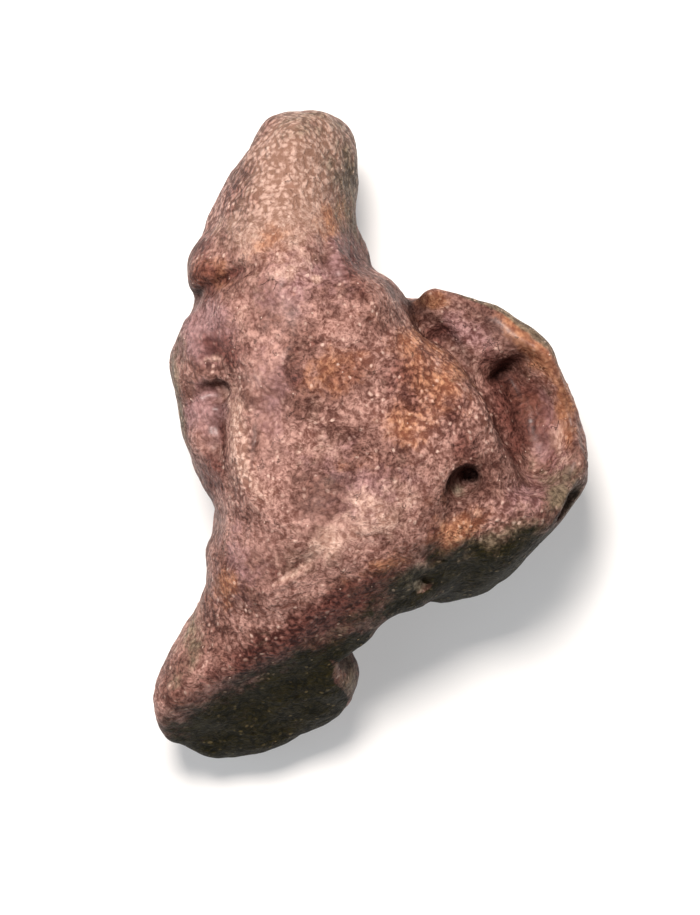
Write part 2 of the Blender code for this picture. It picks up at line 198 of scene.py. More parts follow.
@dataclass(frozen=True)
class Rope:
    """A rounded welt along a bent line.  Each point is x, y, z and the radius there."""

    points: tuple[tuple[float, float, float, float], ...]
    blend: float = 1.0
    steps: int = 4  # straight pieces in each span, where there is more than one span

    def depth(self, p: np.ndarray) -> np.ndarray:
        """Measures how far points lie from the surface.

        Args:
            p: points in millimetres.

        Returns:
            The distance of each point, negative inside.
        """
        path = smooth_path(self.points, 1 if len(self.points) == 2 else self.steps).astype(p.dtype)
        best = np.full(p.shape[:-1], FAR, p.dtype)
        for a, b in zip(path[:-1], path[1:]):
            run = b[:3] - a[:3]
            t = np.clip(((p - a[:3]) @ run) / (run @ run), 0.0, 1.0)
            off = p - a[:3] - t[..., None] * run
            best = np.minimum(best, np.sqrt((off**2).sum(-1)) - (a[3] + (b[3] - a[3]) * t))
        return best


@dataclass(frozen=True)
class Facet:
    """A plane: bone is kept on the side that its normal points away from."""

    point: Point3
    normal: Point3
    blend: float = 1.0

    def depth(self, p: np.ndarray) -> np.ndarray:
        """Measures how far points lie from the plane.

        Args:
            p: points in millimetres.

        Returns:
            The distance of each point, negative on the bone's side.
        """
        n = np.array(self.normal, float)
        n = (n / np.linalg.norm(n)).astype(p.dtype)
        return (p - np.array(self.point, p.dtype)) @ n


@dataclass(frozen=True)
class Bench:
    """What a sloping cut takes away inside the reach of a lump."""

    reach: Lump
    floor: Facet
    blend: float = 1.0
    corner: float = 0.5

    def depth(self, p: np.ndarray) -> np.ndarray:
        """Gives the distance of each point in p to what is taken away, negative inside it."""
        return smooth_max(self.reach.depth(p), -self.floor.depth(p), self.corner)


@dataclass(frozen=True)
class Mark:
    """A soft welt, or below zero a furrow, laid on the upper side along a line given in plan."""

    path: tuple[tuple[float, float], ...]
    width: float
    height: float
    floor: float = 7.0
    rise: float = 1.5  # how far above its floor it has its full height
    reach: float = 2.6  # widths at which it has died out
    end_fade: float = 0.8  # how much of its height it loses at its ends
    steps: int = 3

    def lift(self, p: np.ndarray) -> np.ndarray:
        """Measures how far the mark raises the surface.

        Args:
            p: points in millimetres.

        Returns:
            The rise at each point.
        """
        path = smooth_path(self.path, self.steps).astype(p.dtype)
        margin = self.reach * self.width
        low, high = path.min(0) - margin, path.max(0) + margin
        plan = p[..., :2]
        near = np.all((plan > low) & (plan < high), axis=-1) & (p[..., 2] > self.floor)
        out = np.zeros(p.shape[:-1], p.dtype)
        if not near.any():
            return out
        plan = plan[near]
        best = np.full(len(plan), FAR, p.dtype)
        along = np.zeros_like(best)
        for i, (a, b) in enumerate(zip(path[:-1], path[1:])):
            t = np.clip(((plan - a) @ (b - a)) / ((b - a) @ (b - a)), 0.0, 1.0)
            off = ((plan - a - t[:, None] * (b - a)) ** 2).sum(-1)
            along = np.where(off < best, (i + t) / (len(path) - 1), along)
            best = np.minimum(best, off)
        fade = 1.0 - self.end_fade * np.abs(2.0 * along - 1.0) ** 3
        upper = np.clip((p[near][:, 2] - self.floor) / self.rise, 0.0, 1.0)
        out[near] = self.height * np.exp(-best / self.width**2) * fade * upper
        return out


Solid = Lump | Rope | Facet | Bench


def grow(d: np.ndarray | None, p: np.ndarray, *forms: Solid) -> np.ndarray:
    """Adds masses.

    Args:
        d: the distance so far, or None for the first mass.
        p: the points.
        forms: what is added.

    Returns:
        The new distance.
    """
    for form in forms:
        d = form.depth(p) if d is None else smooth_min(d, form.depth(p), form.blend)
    return d


def cut(d: np.ndarray, p: np.ndarray, *forms: Solid) -> np.ndarray:
    """Takes masses away.

    Args:
        d: the distance so far.
        p: the points.
        forms: what is taken away.

    Returns:
        The new distance.
    """
    for form in forms:
        d = smooth_max(d, -form.depth(p), form.blend)
    return d


def plane_off(d: np.ndarray, p: np.ndarray, *facets: Facet) -> np.ndarray:
    """Planes flat facets off.

    Args:
        d: the distance so far.
        p: the points.
        facets: the planes.

    Returns:
        The new distance.
    """
    for facet in facets:
        d = smooth_max(d, facet.depth(p), facet.blend)
    return d


# ---- The bone's shape ----
@dataclass(frozen=True)
class BoneShape:
    """The sculpted form of the bone, in millimetres, with its main sizes as fields."""

    dome_tall: float = 6.25
    dome_wide: float = 7.9
    dome_long: float = 8.3
    body_top: float = 15.0
    meatus_mouth: float = 12.4
    meatus_depth: float = 5.7
    meatus_half_wide: float = 3.45
    meatus_half_long: float = 4.3
    aqueduct_radius: float = 0.75
    rim_radius: float = 1.1
    crest_radius: float = 3.4
    rest_blend: float = 0.15
    tuberosity_blend: float = 0.8
    posterior_blend: float = 1.8
    anterior_blend: float = 1.5
    cochlear_blend: float = 0.6

    def anterior_process(self, p: np.ndarray) -> np.ndarray:
        """The blunt snout at +Y, with a steep flank on its inner side and a knuckle on its outer side.

        Args:
            p: points in millimetres.

        Returns:
            The distance of each point, negative inside.
        """
        d = grow(
            None,
            p,
            Lump((-3.6, 13.65, 6.6), (3.05, 4.05, 5.2), 8.0),
            Lump((-4.6, 11.3, 6.1), (4.05, 4.4, 6.25), -14.0, 1.4),
            Lump((-4.2, 8.0, 8.4), (4.7, 4.6, 6.0), 0.0, 2.0),
            Lump((-2.15, 15.55, 6.8), (1.75, 2.2, 3.0), 10.0, 1.2),
            Lump((-7.85, 8.85, 8.0), (2.0, 2.0, 3.2), -12.0, 1.2),
            Lump((-1.15, 9.9, 7.6), (2.3, 2.1, 3.2), 10.0, 0.8),
        )
        return plane_off(d, p, Facet((-1.2, 12.5, 9.5), (0.90, 0.05, 0.38), 2.4))

    def middle(self, p: np.ndarray) -> np.ndarray:
        """The body of the bone: a broad back that breaks off steeply above the meatus.

        Args:
            p: points in millimetres.

        Returns:
            The distance of each point, negative inside.
        """
        d = grow(
            None,
            p,
            Lump((-2.8, 3.4, 8.7), (6.2, 7.4, self.body_top - 8.7), 10.0),
            Lump((1.2, -0.6, 8.8), (8.2, 7.0, 5.7), -30.0, 2.5),
            Lump((0.2, -4.6, 9.2), (4.9, 4.2, 5.4), 28.0, 2.5),
            Lump((-4.3, -3.0, 8.6), (4.2, 6.0, 5.6), 0.0, 2.5),
        )
        d = plane_off(
            d,
            p,
            Facet((3.85, 4.45, 12.0), (0.64, 0.77, 0.05), 0.7),
            Facet((6.45, 1.05, 12.0), (0.88, 0.47, 0.05), 0.7),
        )
        return grow(d, p, Lump((-0.35, 6.6, 9.2), (2.35, 2.4, 4.6), 0.0, 1.5))

    def lateral_tuberosity(self, p: np.ndarray) -> np.ndarray:
        """The two low swellings on the outer side.

        Args:
            p: points in millimetres.

        Returns:
            The distance of each point, negative inside.
        """
        return grow(
            None,
            p,
            Lump((-8.1, 4.2, 8.0), (2.75, 3.3, 3.6)),
            Lump((-7.8, 0.4, 7.4), (2.4, 4.0, 3.6), 6.0),
        )

    def posterior_process(self, p: np.ndarray) -> np.ndarray:
        """The thick limb that runs back and outward, with a crest above and a foot below.

        Args:
            p: points in millimetres.

        Returns:
            The distance of each point, negative inside.
        """
        r = self.crest_radius
        crest = (
            (2.2, -5.7, 9.8, r - 0.1),
            (-0.5, -7.4, 9.5, r),
            (-3.4, -9.4, 8.7, r),
            (-6.2, -11.6, 7.3, r - 0.3),
            (-8.85, -14.6, 6.0, r - 0.5),
        )
        d = grow(
            None,
            p,
            Lump((-4.0, -7.2, 7.6), (4.5, 4.0, 5.6)),
            Rope(((-4.5, -7.5, 8.0, 3.8), (-6.6, -10.8, 7.0, 3.3), (-8.5, -14.1, 6.0, 2.8)), 1.2),
            Rope(crest, 1.0),
            Lump((-6.1, -14.2, 4.6), (5.6, 3.8, 4.75), 21.0, 1.2),
        )
        # the foot runs to a blunt point at the far end
        return plane_off(
            d,
            p,
            Facet((-5.9, -17.5, 4.0), (0.31, -0.95, 0.0), 0.8),
            Facet((-10.75, -17.05, 4.0), (-0.60, -0.80, 0.0), 0.8),
        )

    def cochlear_part(self, p: np.ndarray) -> np.ndarray:
        """The round promontory, its rolled rim, and the meatus sunk into it.

        Args:
            p: points in millimetres.

        Returns:
            The distance of each point, negative inside.
        """
        r = self.rim_radius
        rim = (
            (3.7, 6.55, 8.4, r + 0.25),
            (6.0, 6.2, 8.0, r + 0.1),
            (8.0, 4.9, 8.1, r),
            (9.45, 2.95, 8.6, r - 0.1),
            (10.35, 0.8, 8.9, r - 0.35),
            (10.95, -1.5, 9.2, r - 0.3),
        )
        d = grow(
            None,
            p,
            Lump((3.5, -0.8, 6.1), (self.dome_wide, self.dome_long, self.dome_tall)),
            Lump((7.55, 0.2, 7.2), (3.75, 5.2, 3.6), 10.0, 1.5),
            Lump((7.2, -4.0, 8.4), (4.4, 3.4, 4.2), 30.0, 2.0),
            Rope(rim, 0.8),
        )
        d = plane_off(d, p, Facet((9.4, -6.4, 7.0), (0.70, -0.71, 0.05), 1.5))
        # A shelf behind the rim, then the bowl of the meatus, with a dark slot under the shelf's end and
        # a bank of crumbly bone along the foot of the steep edge of the body.
        shelf = Lump((4.8, 4.3, 12.0), (4.4, 2.6, 6.0), -34.0)
        hollow = (self.meatus_half_wide, self.meatus_half_long, self.meatus_depth)
        bowl = Lump((8.25, 0.9, self.meatus_mouth), hollow, 18.0, 1.0)
        floor = self.meatus_mouth - self.meatus_depth
        bank = (
            (5.6, 2.6, floor + 0.3, 1.3),
            (6.15, 1.4, floor + 0.5, 1.4),
            (6.7, 0.3, floor + 0.6, 1.3),
            (7.3, -0.8, floor + 0.9, 0.9),
        )
        d = cut(
            d,
            p,
            Bench(shelf, Facet((4.9, 4.9, 8.6), (-0.17, -0.20, 0.96)), 1.4),
            bowl,
            Lump((6.9, 3.05, 10.6), (1.85, 0.95, 4.3), 24.0, 1.2),
        )
        return grow(d, p, Rope(bank, 1.3))

    def facets(self) -> tuple[Facet, ...]:
        """The steep worn face behind the crest, in two halves that meet at a very flat angle.

        Returns:
            The planes of the two halves.
        """
        return (
            Facet((-4.07, -11.48, 11.1), (0.11, -0.78, 0.57), 0.5),
            Facet((-4.07, -11.48, 11.1), (0.33, -0.75, 0.57), 0.5),
        )

    def openings(self) -> tuple[Solid, ...]:
        """The natural openings, clefts and waists, from the dorsal side to the ventral side.

        Returns:
            What is taken away.
        """
        return (
            # aperture of the vestibular aqueduct
            Lump((5.15, -2.75, 13.6), (self.aqueduct_radius + 0.2, self.aqueduct_radius, 1.7), 30.0, 0.6),
            Rope(((5.3, -2.55, 13.0, 0.5), (5.55, -2.3, 11.4, 0.4)), 0.8),
            # crevice between the shelf and the body
            Rope(((2.75, 5.95, 9.9, 0.45), (3.7, 5.2, 8.6, 0.65), (4.9, 4.0, 8.9, 0.35)), 0.6),
            # opening on the inner corner, below the end of the rim
            Lump((10.9, -3.8, 9.8), (1.3, 0.65, 1.2), 40.0, 0.4),
            # oval pit in the tuberosity
            Lump((-8.65, 2.4, 11.35), (0.8, 0.66, 0.8), 10.0, 0.35),
            # cleft between the anterior process and the lateral tuberosity
            Rope(((-10.7, 6.7, 6.0, 0.5), (-9.9, 7.3, 9.6, 0.3)), 0.6),
            # waist between the foot of the posterior process and the promontory
            Rope(((1.7, -11.3, 0.0, 1.5), (1.7, -11.3, 14.0, 1.5)), 0.6),
            # waist between the tuberosity and the posterior process
            Rope(((-10.0, -4.7, 4.0, 1.1), (-9.1, -4.6, 12.0, 1.1)), 0.8),
            # mallear fossa
            Lump((-5.2, 2.8, 1.7), (2.3, 2.4, 2.0), 0.0, 0.4),
            # fenestra ovalis
            Lump((-3.0, 0.0, 2.2), (1.3, 0.9, 1.3), 20.0, 0.3),
            # opening of the facial canal, and the furrow that leads back from it
            Rope(((-3.6, 3.6, 1.5, 0.6), (-1.6, 4.6, 5.0, 0.5)), 0.3),
            Rope(((-4.0, -1.4, 2.0, 0.6), (-4.3, -4.0, 1.9, 0.65), (-3.8, -7.0, 1.7, 0.6)), 0.5),
            # fossa incudis
            Rope(((-6.6, -3.8, 1.8, 0.6), (-6.4, -3.4, 4.4, 0.4)), 0.3),
            # stapedial muscle fossa
            Lump((0.2, -7.2, 3.2), (1.9, 1.5, 1.8), 20.0, 0.5),
            # posterior and anterior facets for the bulla
            Lump((-4.6, -10.6, 0.2), (1.6, 3.0, 1.9), -35.0, 0.5),
            Rope(((-2.4, 14.6, 1.6, 0.6), (-2.2, 12.0, 0.9, 0.7), (-2.6, 9.2, 1.4, 0.6)), 0.5),
            # fenestra rotunda
            Lump((2.9, -8.6, 5.6), (1.1, 1.2, 0.9), 0.0, 0.3),
        )

    def marks(self) -> tuple[Mark, ...]:
        """The shallow ridges, furrows and nicks of the dorsal side.

        Returns:
            The marks that the solid has too.
        """
        return (
            # oval knob on the inner side of the neck, and the step beside it
            Mark(((-2.0, 10.8), (-1.6, 9.7), (-1.3, 8.5)), 0.7, 0.25),
            Mark(((-2.5, 10.9), (-2.6, 9.5), (-2.0, 8.2)), 0.35, -0.14),
            # furrow that carries on the cleft over the neck
            Mark(((-10.0, 7.1), (-8.9, 7.9), (-7.8, 8.4), (-6.8, 9.0), (-5.6, 9.4)), 0.5, -0.55),
            # curved ridge over the back with a dip behind it
            Mark(((-5.8, 2.7), (-4.3, 4.6), (-1.8, 5.3), (0.9, 4.6), (2.3, 2.7)), 0.6, 0.16),
            Mark(((-3.7, 2.2), (-1.8, 2.9), (0.2, 2.5)), 1.2, -0.25),
            # wrinkles across the back
            Mark(((-2.4, -1.6), (-0.6, -0.9), (1.2, 0.7)), 0.35, 0.06),
            Mark(((-1.8, -0.8), (0.0, -0.1), (1.6, 1.5)), 0.3, -0.07),
            # smooth boss in front of the crest
            Mark(((-0.4, -2.5), (0.4, -4.1), (0.2, -6.0)), 1.4, 0.25),
            # small ledge and the hollow above it
            Mark(((-5.8, -8.5), (-4.3, -7.8), (-2.7, -6.7)), 0.25, 0.10),
            Mark(((-4.9, -7.6), (-3.7, -7.0), (-2.4, -6.1)), 0.45, -0.20),
            # long furrow between the tuberosity and the back, with a low welt inside it
            Mark(((-7.4, 3.4), (-7.8, 1.6), (-7.9, -0.2), (-7.6, -1.8), (-7.2, -3.6)), 0.5, -0.40),
            Mark(((-7.0, 3.0), (-7.0, 0.6), (-6.5, -2.8)), 0.6, 0.20),
            Mark(((-6.5, 7.4), (-7.3, 5.2), (-7.6, 2.7)), 0.7, -0.15),
            # nicks on the tuberosity
            Mark(((-9.6, 3.3), (-8.4, 3.3)), 0.4, 0.14),
            Mark(((-9.2, 0.7), (-7.9, 0.5)), 0.3, -0.12),
            Mark(((-9.2, -0.4), (-7.9, -0.6)), 0.3, -0.12),
            # valley that runs down from the round pit, and the swelling on its inner side
            Mark(((4.8, -3.6), (4.0, -5.2), (3.1, -7.0)), 0.8, -0.40),
            Mark(((5.6, -5.0), (7.8, -3.9), (9.7, -2.7)), 0.9, 0.15),
            # low swelling on the inner side of the foot
            Mark(((-1.5, -12.3), (-1.8, -13.5), (-2.4, -14.7)), 0.9, 0.3, 2.0),
            # cleft at the inner end of the crest
            Mark(((2.8, -7.5), (3.3, -8.4)), 0.35, -0.35, 6.0),
        )

    def scratches(self) -> tuple[Mark, ...]:
        """Fine scratches, cracks and flaked edges, too small for the solid.

        Returns:
            The marks.
        """
        return (
            # tiny ring-shaped nick on the boss
            Mark(((-0.75, -5.45), (-0.5, -5.6)), 0.16, -0.16),
            # flaked edges beside the long furrow
            Mark(((-6.9, 1.6), (-6.7, 0.3), (-6.9, -1.1)), 0.14, -0.10),
            Mark(((-6.2, 0.9), (-6.0, -0.8), (-6.2, -2.4)), 0.12, -0.08),
            Mark(((-6.6, -1.4), (-6.1, -2.6), (-6.2, -3.9)), 0.16, 0.08),
            Mark(((-5.4, -0.6), (-5.5, -1.9), (-5.2, -3.0)), 0.10, -0.06),
            # scratch along the ledge
            Mark(((-5.6, -8.0), (-4.5, -7.5), (-3.2, -6.7), (-2.2, -6.3)), 0.10, -0.09),
            # creases round the knob
            Mark(((-1.1, 10.6), (-0.9, 9.6), (-0.8, 8.9)), 0.12, -0.10),
            Mark(((-1.9, 10.3), (-1.75, 9.5), (-1.5, 8.8)), 0.10, 0.05),
            # hairline cracks in the wall of the meatus
            Mark(((8.5, 2.6), (8.9, 1.2), (9.0, 0.0)), 0.08, -0.05, 4.0),
            Mark(((9.9, 0.9), (9.1, 0.6), (8.6, 0.8)), 0.08, -0.05, 4.0),
            # short creases over the back
            Mark(((-4.6, 4.4), (-3.0, 5.0), (-1.4, 5.0)), 0.12, -0.06),
            Mark(((-0.6, 1.1), (0.8, 1.7), (2.0, 2.7)), 0.14, -0.05),
            Mark(((-1.0, -1.6), (0.6, -0.9), (2.2, 0.1)), 0.14, 0.05),
            Mark(((1.2, -6.1), (1.9, -6.9), (2.3, -7.9)), 0.12, -0.07),
        )

    def unevenness(self, p: np.ndarray) -> np.ndarray:
        """Bends space by a few tenths of a millimetre, so that no edge runs true.

        Args:
            p: points in millimetres.

        Returns:
            Where each point is looked up.
        """
        x, y, z = p[..., 0], p[..., 1], p[..., 2]
        s = np.sin
        dx = 0.14 * s(0.83 * y + 0.61 * z + 1.3)
        dy = 0.14 * s(0.76 * x - 0.68 * z + 2.1)
        dz = 0.10 * s(0.69 * x + 0.83 * y + 5.2)
        dx = dx + 0.07 * s(1.93 * y + 0.7 * x + 4.1) * s(1.31 * z - 0.6 * x + 0.9)
        dy = dy + 0.07 * s(1.81 * x - 0.8 * y + 0.7) * s(1.54 * z + 0.5 * y + 2.2)
        dz = dz + 0.08 * s(1.72 * x + 0.5 * z + 3.3) * s(1.57 * y - 0.7 * x + 1.7)
        return p + np.stack([dx, dy, dz], -1).astype(p.dtype)

    def distance(self, p: np.ndarray) -> np.ndarray:
        """Distance to the surface of the whole bone.

        Args:
            p: points in millimetres.

        Returns:
            The distance of each point, negative inside.
        """
        p0 = p
        p = self.unevenness(p)
        d = self.middle(p)
        d = smooth_min(d, self.lateral_tuberosity(p), self.tuberosity_blend)
        d = smooth_min(d, self.posterior_process(p), self.posterior_blend)
        d = plane_off(d, p, *self.facets())
        d = smooth_min(d, self.anterior_process(p), self.anterior_blend)
        d = smooth_min(d, self.cochlear_part(p), self.cochlear_blend)
        d = cut(d, p, *self.openings())
        for mark in self.marks() + self.scratches():
            d = d - mark.lift(p)
        return plane_off(d, p0, Facet((0.0, 0.0, 0.0), (0.0, 0.0, -1.0), self.rest_blend))


# ---- From the distance to a mesh ----
@dataclass(frozen=True)
class SurfaceNet:
    """Turns a distance into a closed mesh of small quads, one vertex in each grid cube it crosses."""

    low: Point3 = (-13.0, -19.0, -1.0)
    high: Point3 = (13.5, 19.0, 17.0)
    cell: float = 0.175
    coarse: int = 5  # cells in one step of the first, rough sampling
    band: float = 1.6  # rough steps on each side of the surface that are then sampled closely
    chunk: int = 400_000  # points worked out at once
    most_fills: int = 20
    fill: float = 0.1  # how deep a filled corner lies, in cells
    probe: float = 0.03  # how far apart the slope is measured
    least_slope: float = 0.3
    rounds: int = 2

    def sampled(self, distance: Field) -> tuple[np.ndarray, np.ndarray]:
        """Samples the distance on a grid, closely only near the surface.

        Args:
            distance: the distance to the surface.

        Returns:
            The values, and the point that the first of them belongs to.
        """
        low = np.array(self.low, float)
        big = self.cell * self.coarse
        count = np.ceil((np.array(self.high) - low) / big).astype(int)
        axes = [low[i] + big * (np.arange(count[i]) + 0.5) for i in range(3)]
        grid = np.stack(np.meshgrid(*axes, indexing="ij"), -1).astype(np.float32)
        rough = distance(grid.reshape(-1, 3)).reshape(count)
        wide = rough
        for axis in range(3):
            wide = np.repeat(wide, self.coarse, axis)
        near = np.argwhere(np.abs(wide) < self.band * big)
        values = wide.astype(np.float32)
        start = low + self.cell * 0.5
        for first in range(0, len(near), self.chunk):
            part = near[first : first + self.chunk]
            values[tuple(part.T)] = distance((start + part * self.cell).astype(np.float32))
        return values, start

    def without_pinches(self, values: np.ndarray) -> np.ndarray:
        """Fills the grid corners where two parts of the surface would touch along a single edge.

        Args:
            values: the sampled distance.

        Returns:
            The values to make the net from.
        """
        values = values.copy()
        for _ in range(self.most_fills):
            inside = values < 0
            pinched = np.zeros_like(inside)
            for u, w in ((0, 1), (1, 2), (2, 0)):
                spans = []
                for i, j in ((0, 0), (1, 0), (0, 1), (1, 1)):
                    span = [slice(None)] * 3
                    span[u] = slice(i, inside.shape[u] - 1 + i)
                    span[w] = slice(j, inside.shape[w] - 1 + j)
                    spans.append(tuple(span))
                a, b, c, d = (inside[span] for span in spans)
                pinched[spans[1]] |= a & d & ~b & ~c
                pinched[spans[0]] |= b & c & ~a & ~d
            if not pinched.any():
                break
            values[pinched] = -self.fill * self.cell
        return values

    def net(self, values: np.ndarray, start: np.ndarray) -> tuple[np.ndarray, np.ndarray]:
        """Joins the crossings of the grid into quads.

        Args:
            values: the sampled distance.
            start: the point that the first value belongs to.

        Returns:
            The points and the quads, facing outwards.
        """
        inside = values < 0
        shape = np.array(values.shape)
        corners = [(i, j, k) for i in (0, 1) for j in (0, 1) for k in (0, 1)]
        filled = np.zeros(shape - 1, np.int8)
        for c in corners:
            filled += inside[
                c[0] : shape[0] - 1 + c[0], c[1] : shape[1] - 1 + c[1], c[2] : shape[2] - 1 + c[2]
            ]
        crossed = (filled > 0) & (filled < 8)
        cubes = np.argwhere(crossed)
        number = -np.ones(crossed.shape, np.int64)
        number[tuple(cubes.T)] = np.arange(len(cubes))
        total = np.zeros((len(cubes), 3))
        hits = np.zeros(len(cubes))
        for a in corners:
            for axis in range(3):
                if a[axis]:
                    continue
                b = list(a)
                b[axis] = 1
                va = values[tuple((cubes + a).T)]
                vb = values[tuple((cubes + b).T)]
                cross = (va < 0) != (vb < 0)
                share = np.where(cross, va / np.where(cross, va - vb, 1.0), 0.0)
                total += (np.array(a, float) + share[:, None] * np.eye(3)[axis]) * cross[:, None]
                hits += cross
        points = start + (cubes + total / hits[:, None]) * self.cell
        quads = []
        for axis in range(3):
            u, w = ((1, 2), (2, 0), (0, 1))[axis]
            step = [int(i == axis) for i in range(3)]
            here = inside[1:-1, 1:-1, 1:-1]
            there = inside[tuple(slice(1 + step[i], shape[i] - 1 + step[i]) for i in range(3))]
            edge = np.argwhere(here != there) + 1
            eu, ew = np.eye(3, dtype=int)[u], np.eye(3, dtype=int)[w]
            ring = [number[tuple((edge - back).T)] for back in (eu + ew, ew, 0 * eu, eu)]
            quad = np.stack(ring, 1)
            quads.append(np.where(inside[tuple(edge.T)][:, None], quad, quad[:, ::-1]))
        return points, np.concatenate(quads)

    def slope(self, distance: Field, p: np.ndarray, h: float) -> np.ndarray:
        """Gives the slope of the distance at each point in p, measured over a span of about h."""
        legs = np.array([[1, -1, -1], [-1, -1, 1], [-1, 1, -1], [1, 1, 1]], np.float32)
        return sum(leg * distance(p + leg * h)[:, None] for leg in legs) / (4 * h)

    def build(self, distance: Field) -> tuple[np.ndarray, np.ndarray]:
        """Makes the whole mesh.

        Args:
            distance: the distance to the surface.

        Returns:
            The points in millimetres and the quads.
        """
        values, start = self.sampled(distance)
        points, quads = self.net(self.without_pinches(values), start)
        for _ in range(self.rounds):
            p = points.astype(np.float32)
            g = self.slope(distance, p, self.probe)
            steep = np.maximum((g**2).sum(-1), self.least_slope)
            points = points - g * (distance(p) / steep)[:, None]
        return points, quads


# ---- Stains, painted shade and painted sheen ----
class Stain(Enum):
    """What has coloured or worn a patch of the bone, or what shade or sheen is painted on it."""

    SAND = "sand"  # dry, sandy skin of the snout
    ROSE = "rose"  # dull pink to lilac: partly the bone's own tint, partly a painted lilac sheen where the highlights fall
    OCHRE = "ochre"  # iron, orange to rust
    UMBER = "umber"  # dark red-brown: partly the bone's own stain, partly painted shade in the meatus bowl, on the neck's inner flank and under the crest
    CREAM = "cream"  # worn through to paler bone
    DRAB = "drab"  # greenish brown: partly the bone's own tone, partly painted shade and a painted green reflection on faces turned from the light
    OLIVE = "olive"  # nearly black and greenish: painted shade and a painted green reflection on faces turned from the light
    ASH = "ash"  # dry grey crust
    POLISH = "polish"  # no colour: rubbed smooth and a little glossy
    COBBLE = "cobble"  # no colour: weathered into tiny rounded grains


@dataclass(frozen=True)
class Patch:
    """A soft-edged stain round one spot in plan, on faces that look one way if toward is given."""

    x: float
    y: float
    half_long: float
    half_wide: float
    turn: float = 0.0
    strength: float = 1.0
    above: float = 2.0  # the level that it lies above
    toward: Point3 | None = None
    start: float = 0.2  # the cosine at which a face begins to count
    soft: float = 0.3  # and how much more it takes to count in full
    edge: float = 1.3  # how abruptly it ends in plan
    rise: float = 1.0  # how far above that level it has its full strength

    def facing(self, n: np.ndarray) -> np.ndarray | float:
        """Tells how squarely the surface looks the patch's way.

        Args:
            n: unit normals.

        Returns:
            From 0 to 1 for each normal.
        """
        if self.toward is None:
            return 1.0
        way = np.array(self.toward) / np.linalg.norm(self.toward)
        share = np.clip((n @ way - self.start) / self.soft, 0, 1)
        return share * share * (3 - 2 * share)

    def cover(self, p: np.ndarray, n: np.ndarray) -> np.ndarray:
        """Gives how much of the stain lies on each point.

        Args:
            p: points in millimetres.
            n: their unit normals.

        Returns:
            From 0 to 1 for each point.
        """
        c, s = np.cos(np.radians(self.turn)), np.sin(np.radians(self.turn))
        dx, dy = p[:, 0] - self.x, p[:, 1] - self.y
        u = (dx * c + dy * s) / self.half_long
        v = (dy * c - dx * s) / self.half_wide
        rise = np.clip((p[:, 2] - self.above) / self.rise, 0, 1)
        return self.strength * np.exp(-((u * u + v * v) ** self.edge)) * rise * self.facing(n)


@dataclass(frozen=True)
class Streak:
    """A stain along a line in plan, on the upper side."""

    path: tuple[tuple[float, float], ...]
    half_wide: float
    strength: float = 1.0
    above: float = 5.0

    def cover(self, p: np.ndarray, n: np.ndarray) -> np.ndarray:
        """Gives how much of the stain lies on each point p, from 0 to 1; the normals n are not used."""
        return self.strength * np.clip(Mark(self.path, self.half_wide, 1.0, self.above).lift(p), 0, 1)


BACKWARD = (0.1, -1.0, 0.0)
BACK_AND_OUT = (-0.35, -1.0, 0.1)
INWARD = (1.0, 0.0, 0.1)
UPWARD = (0.0, 0.0, 1.0)

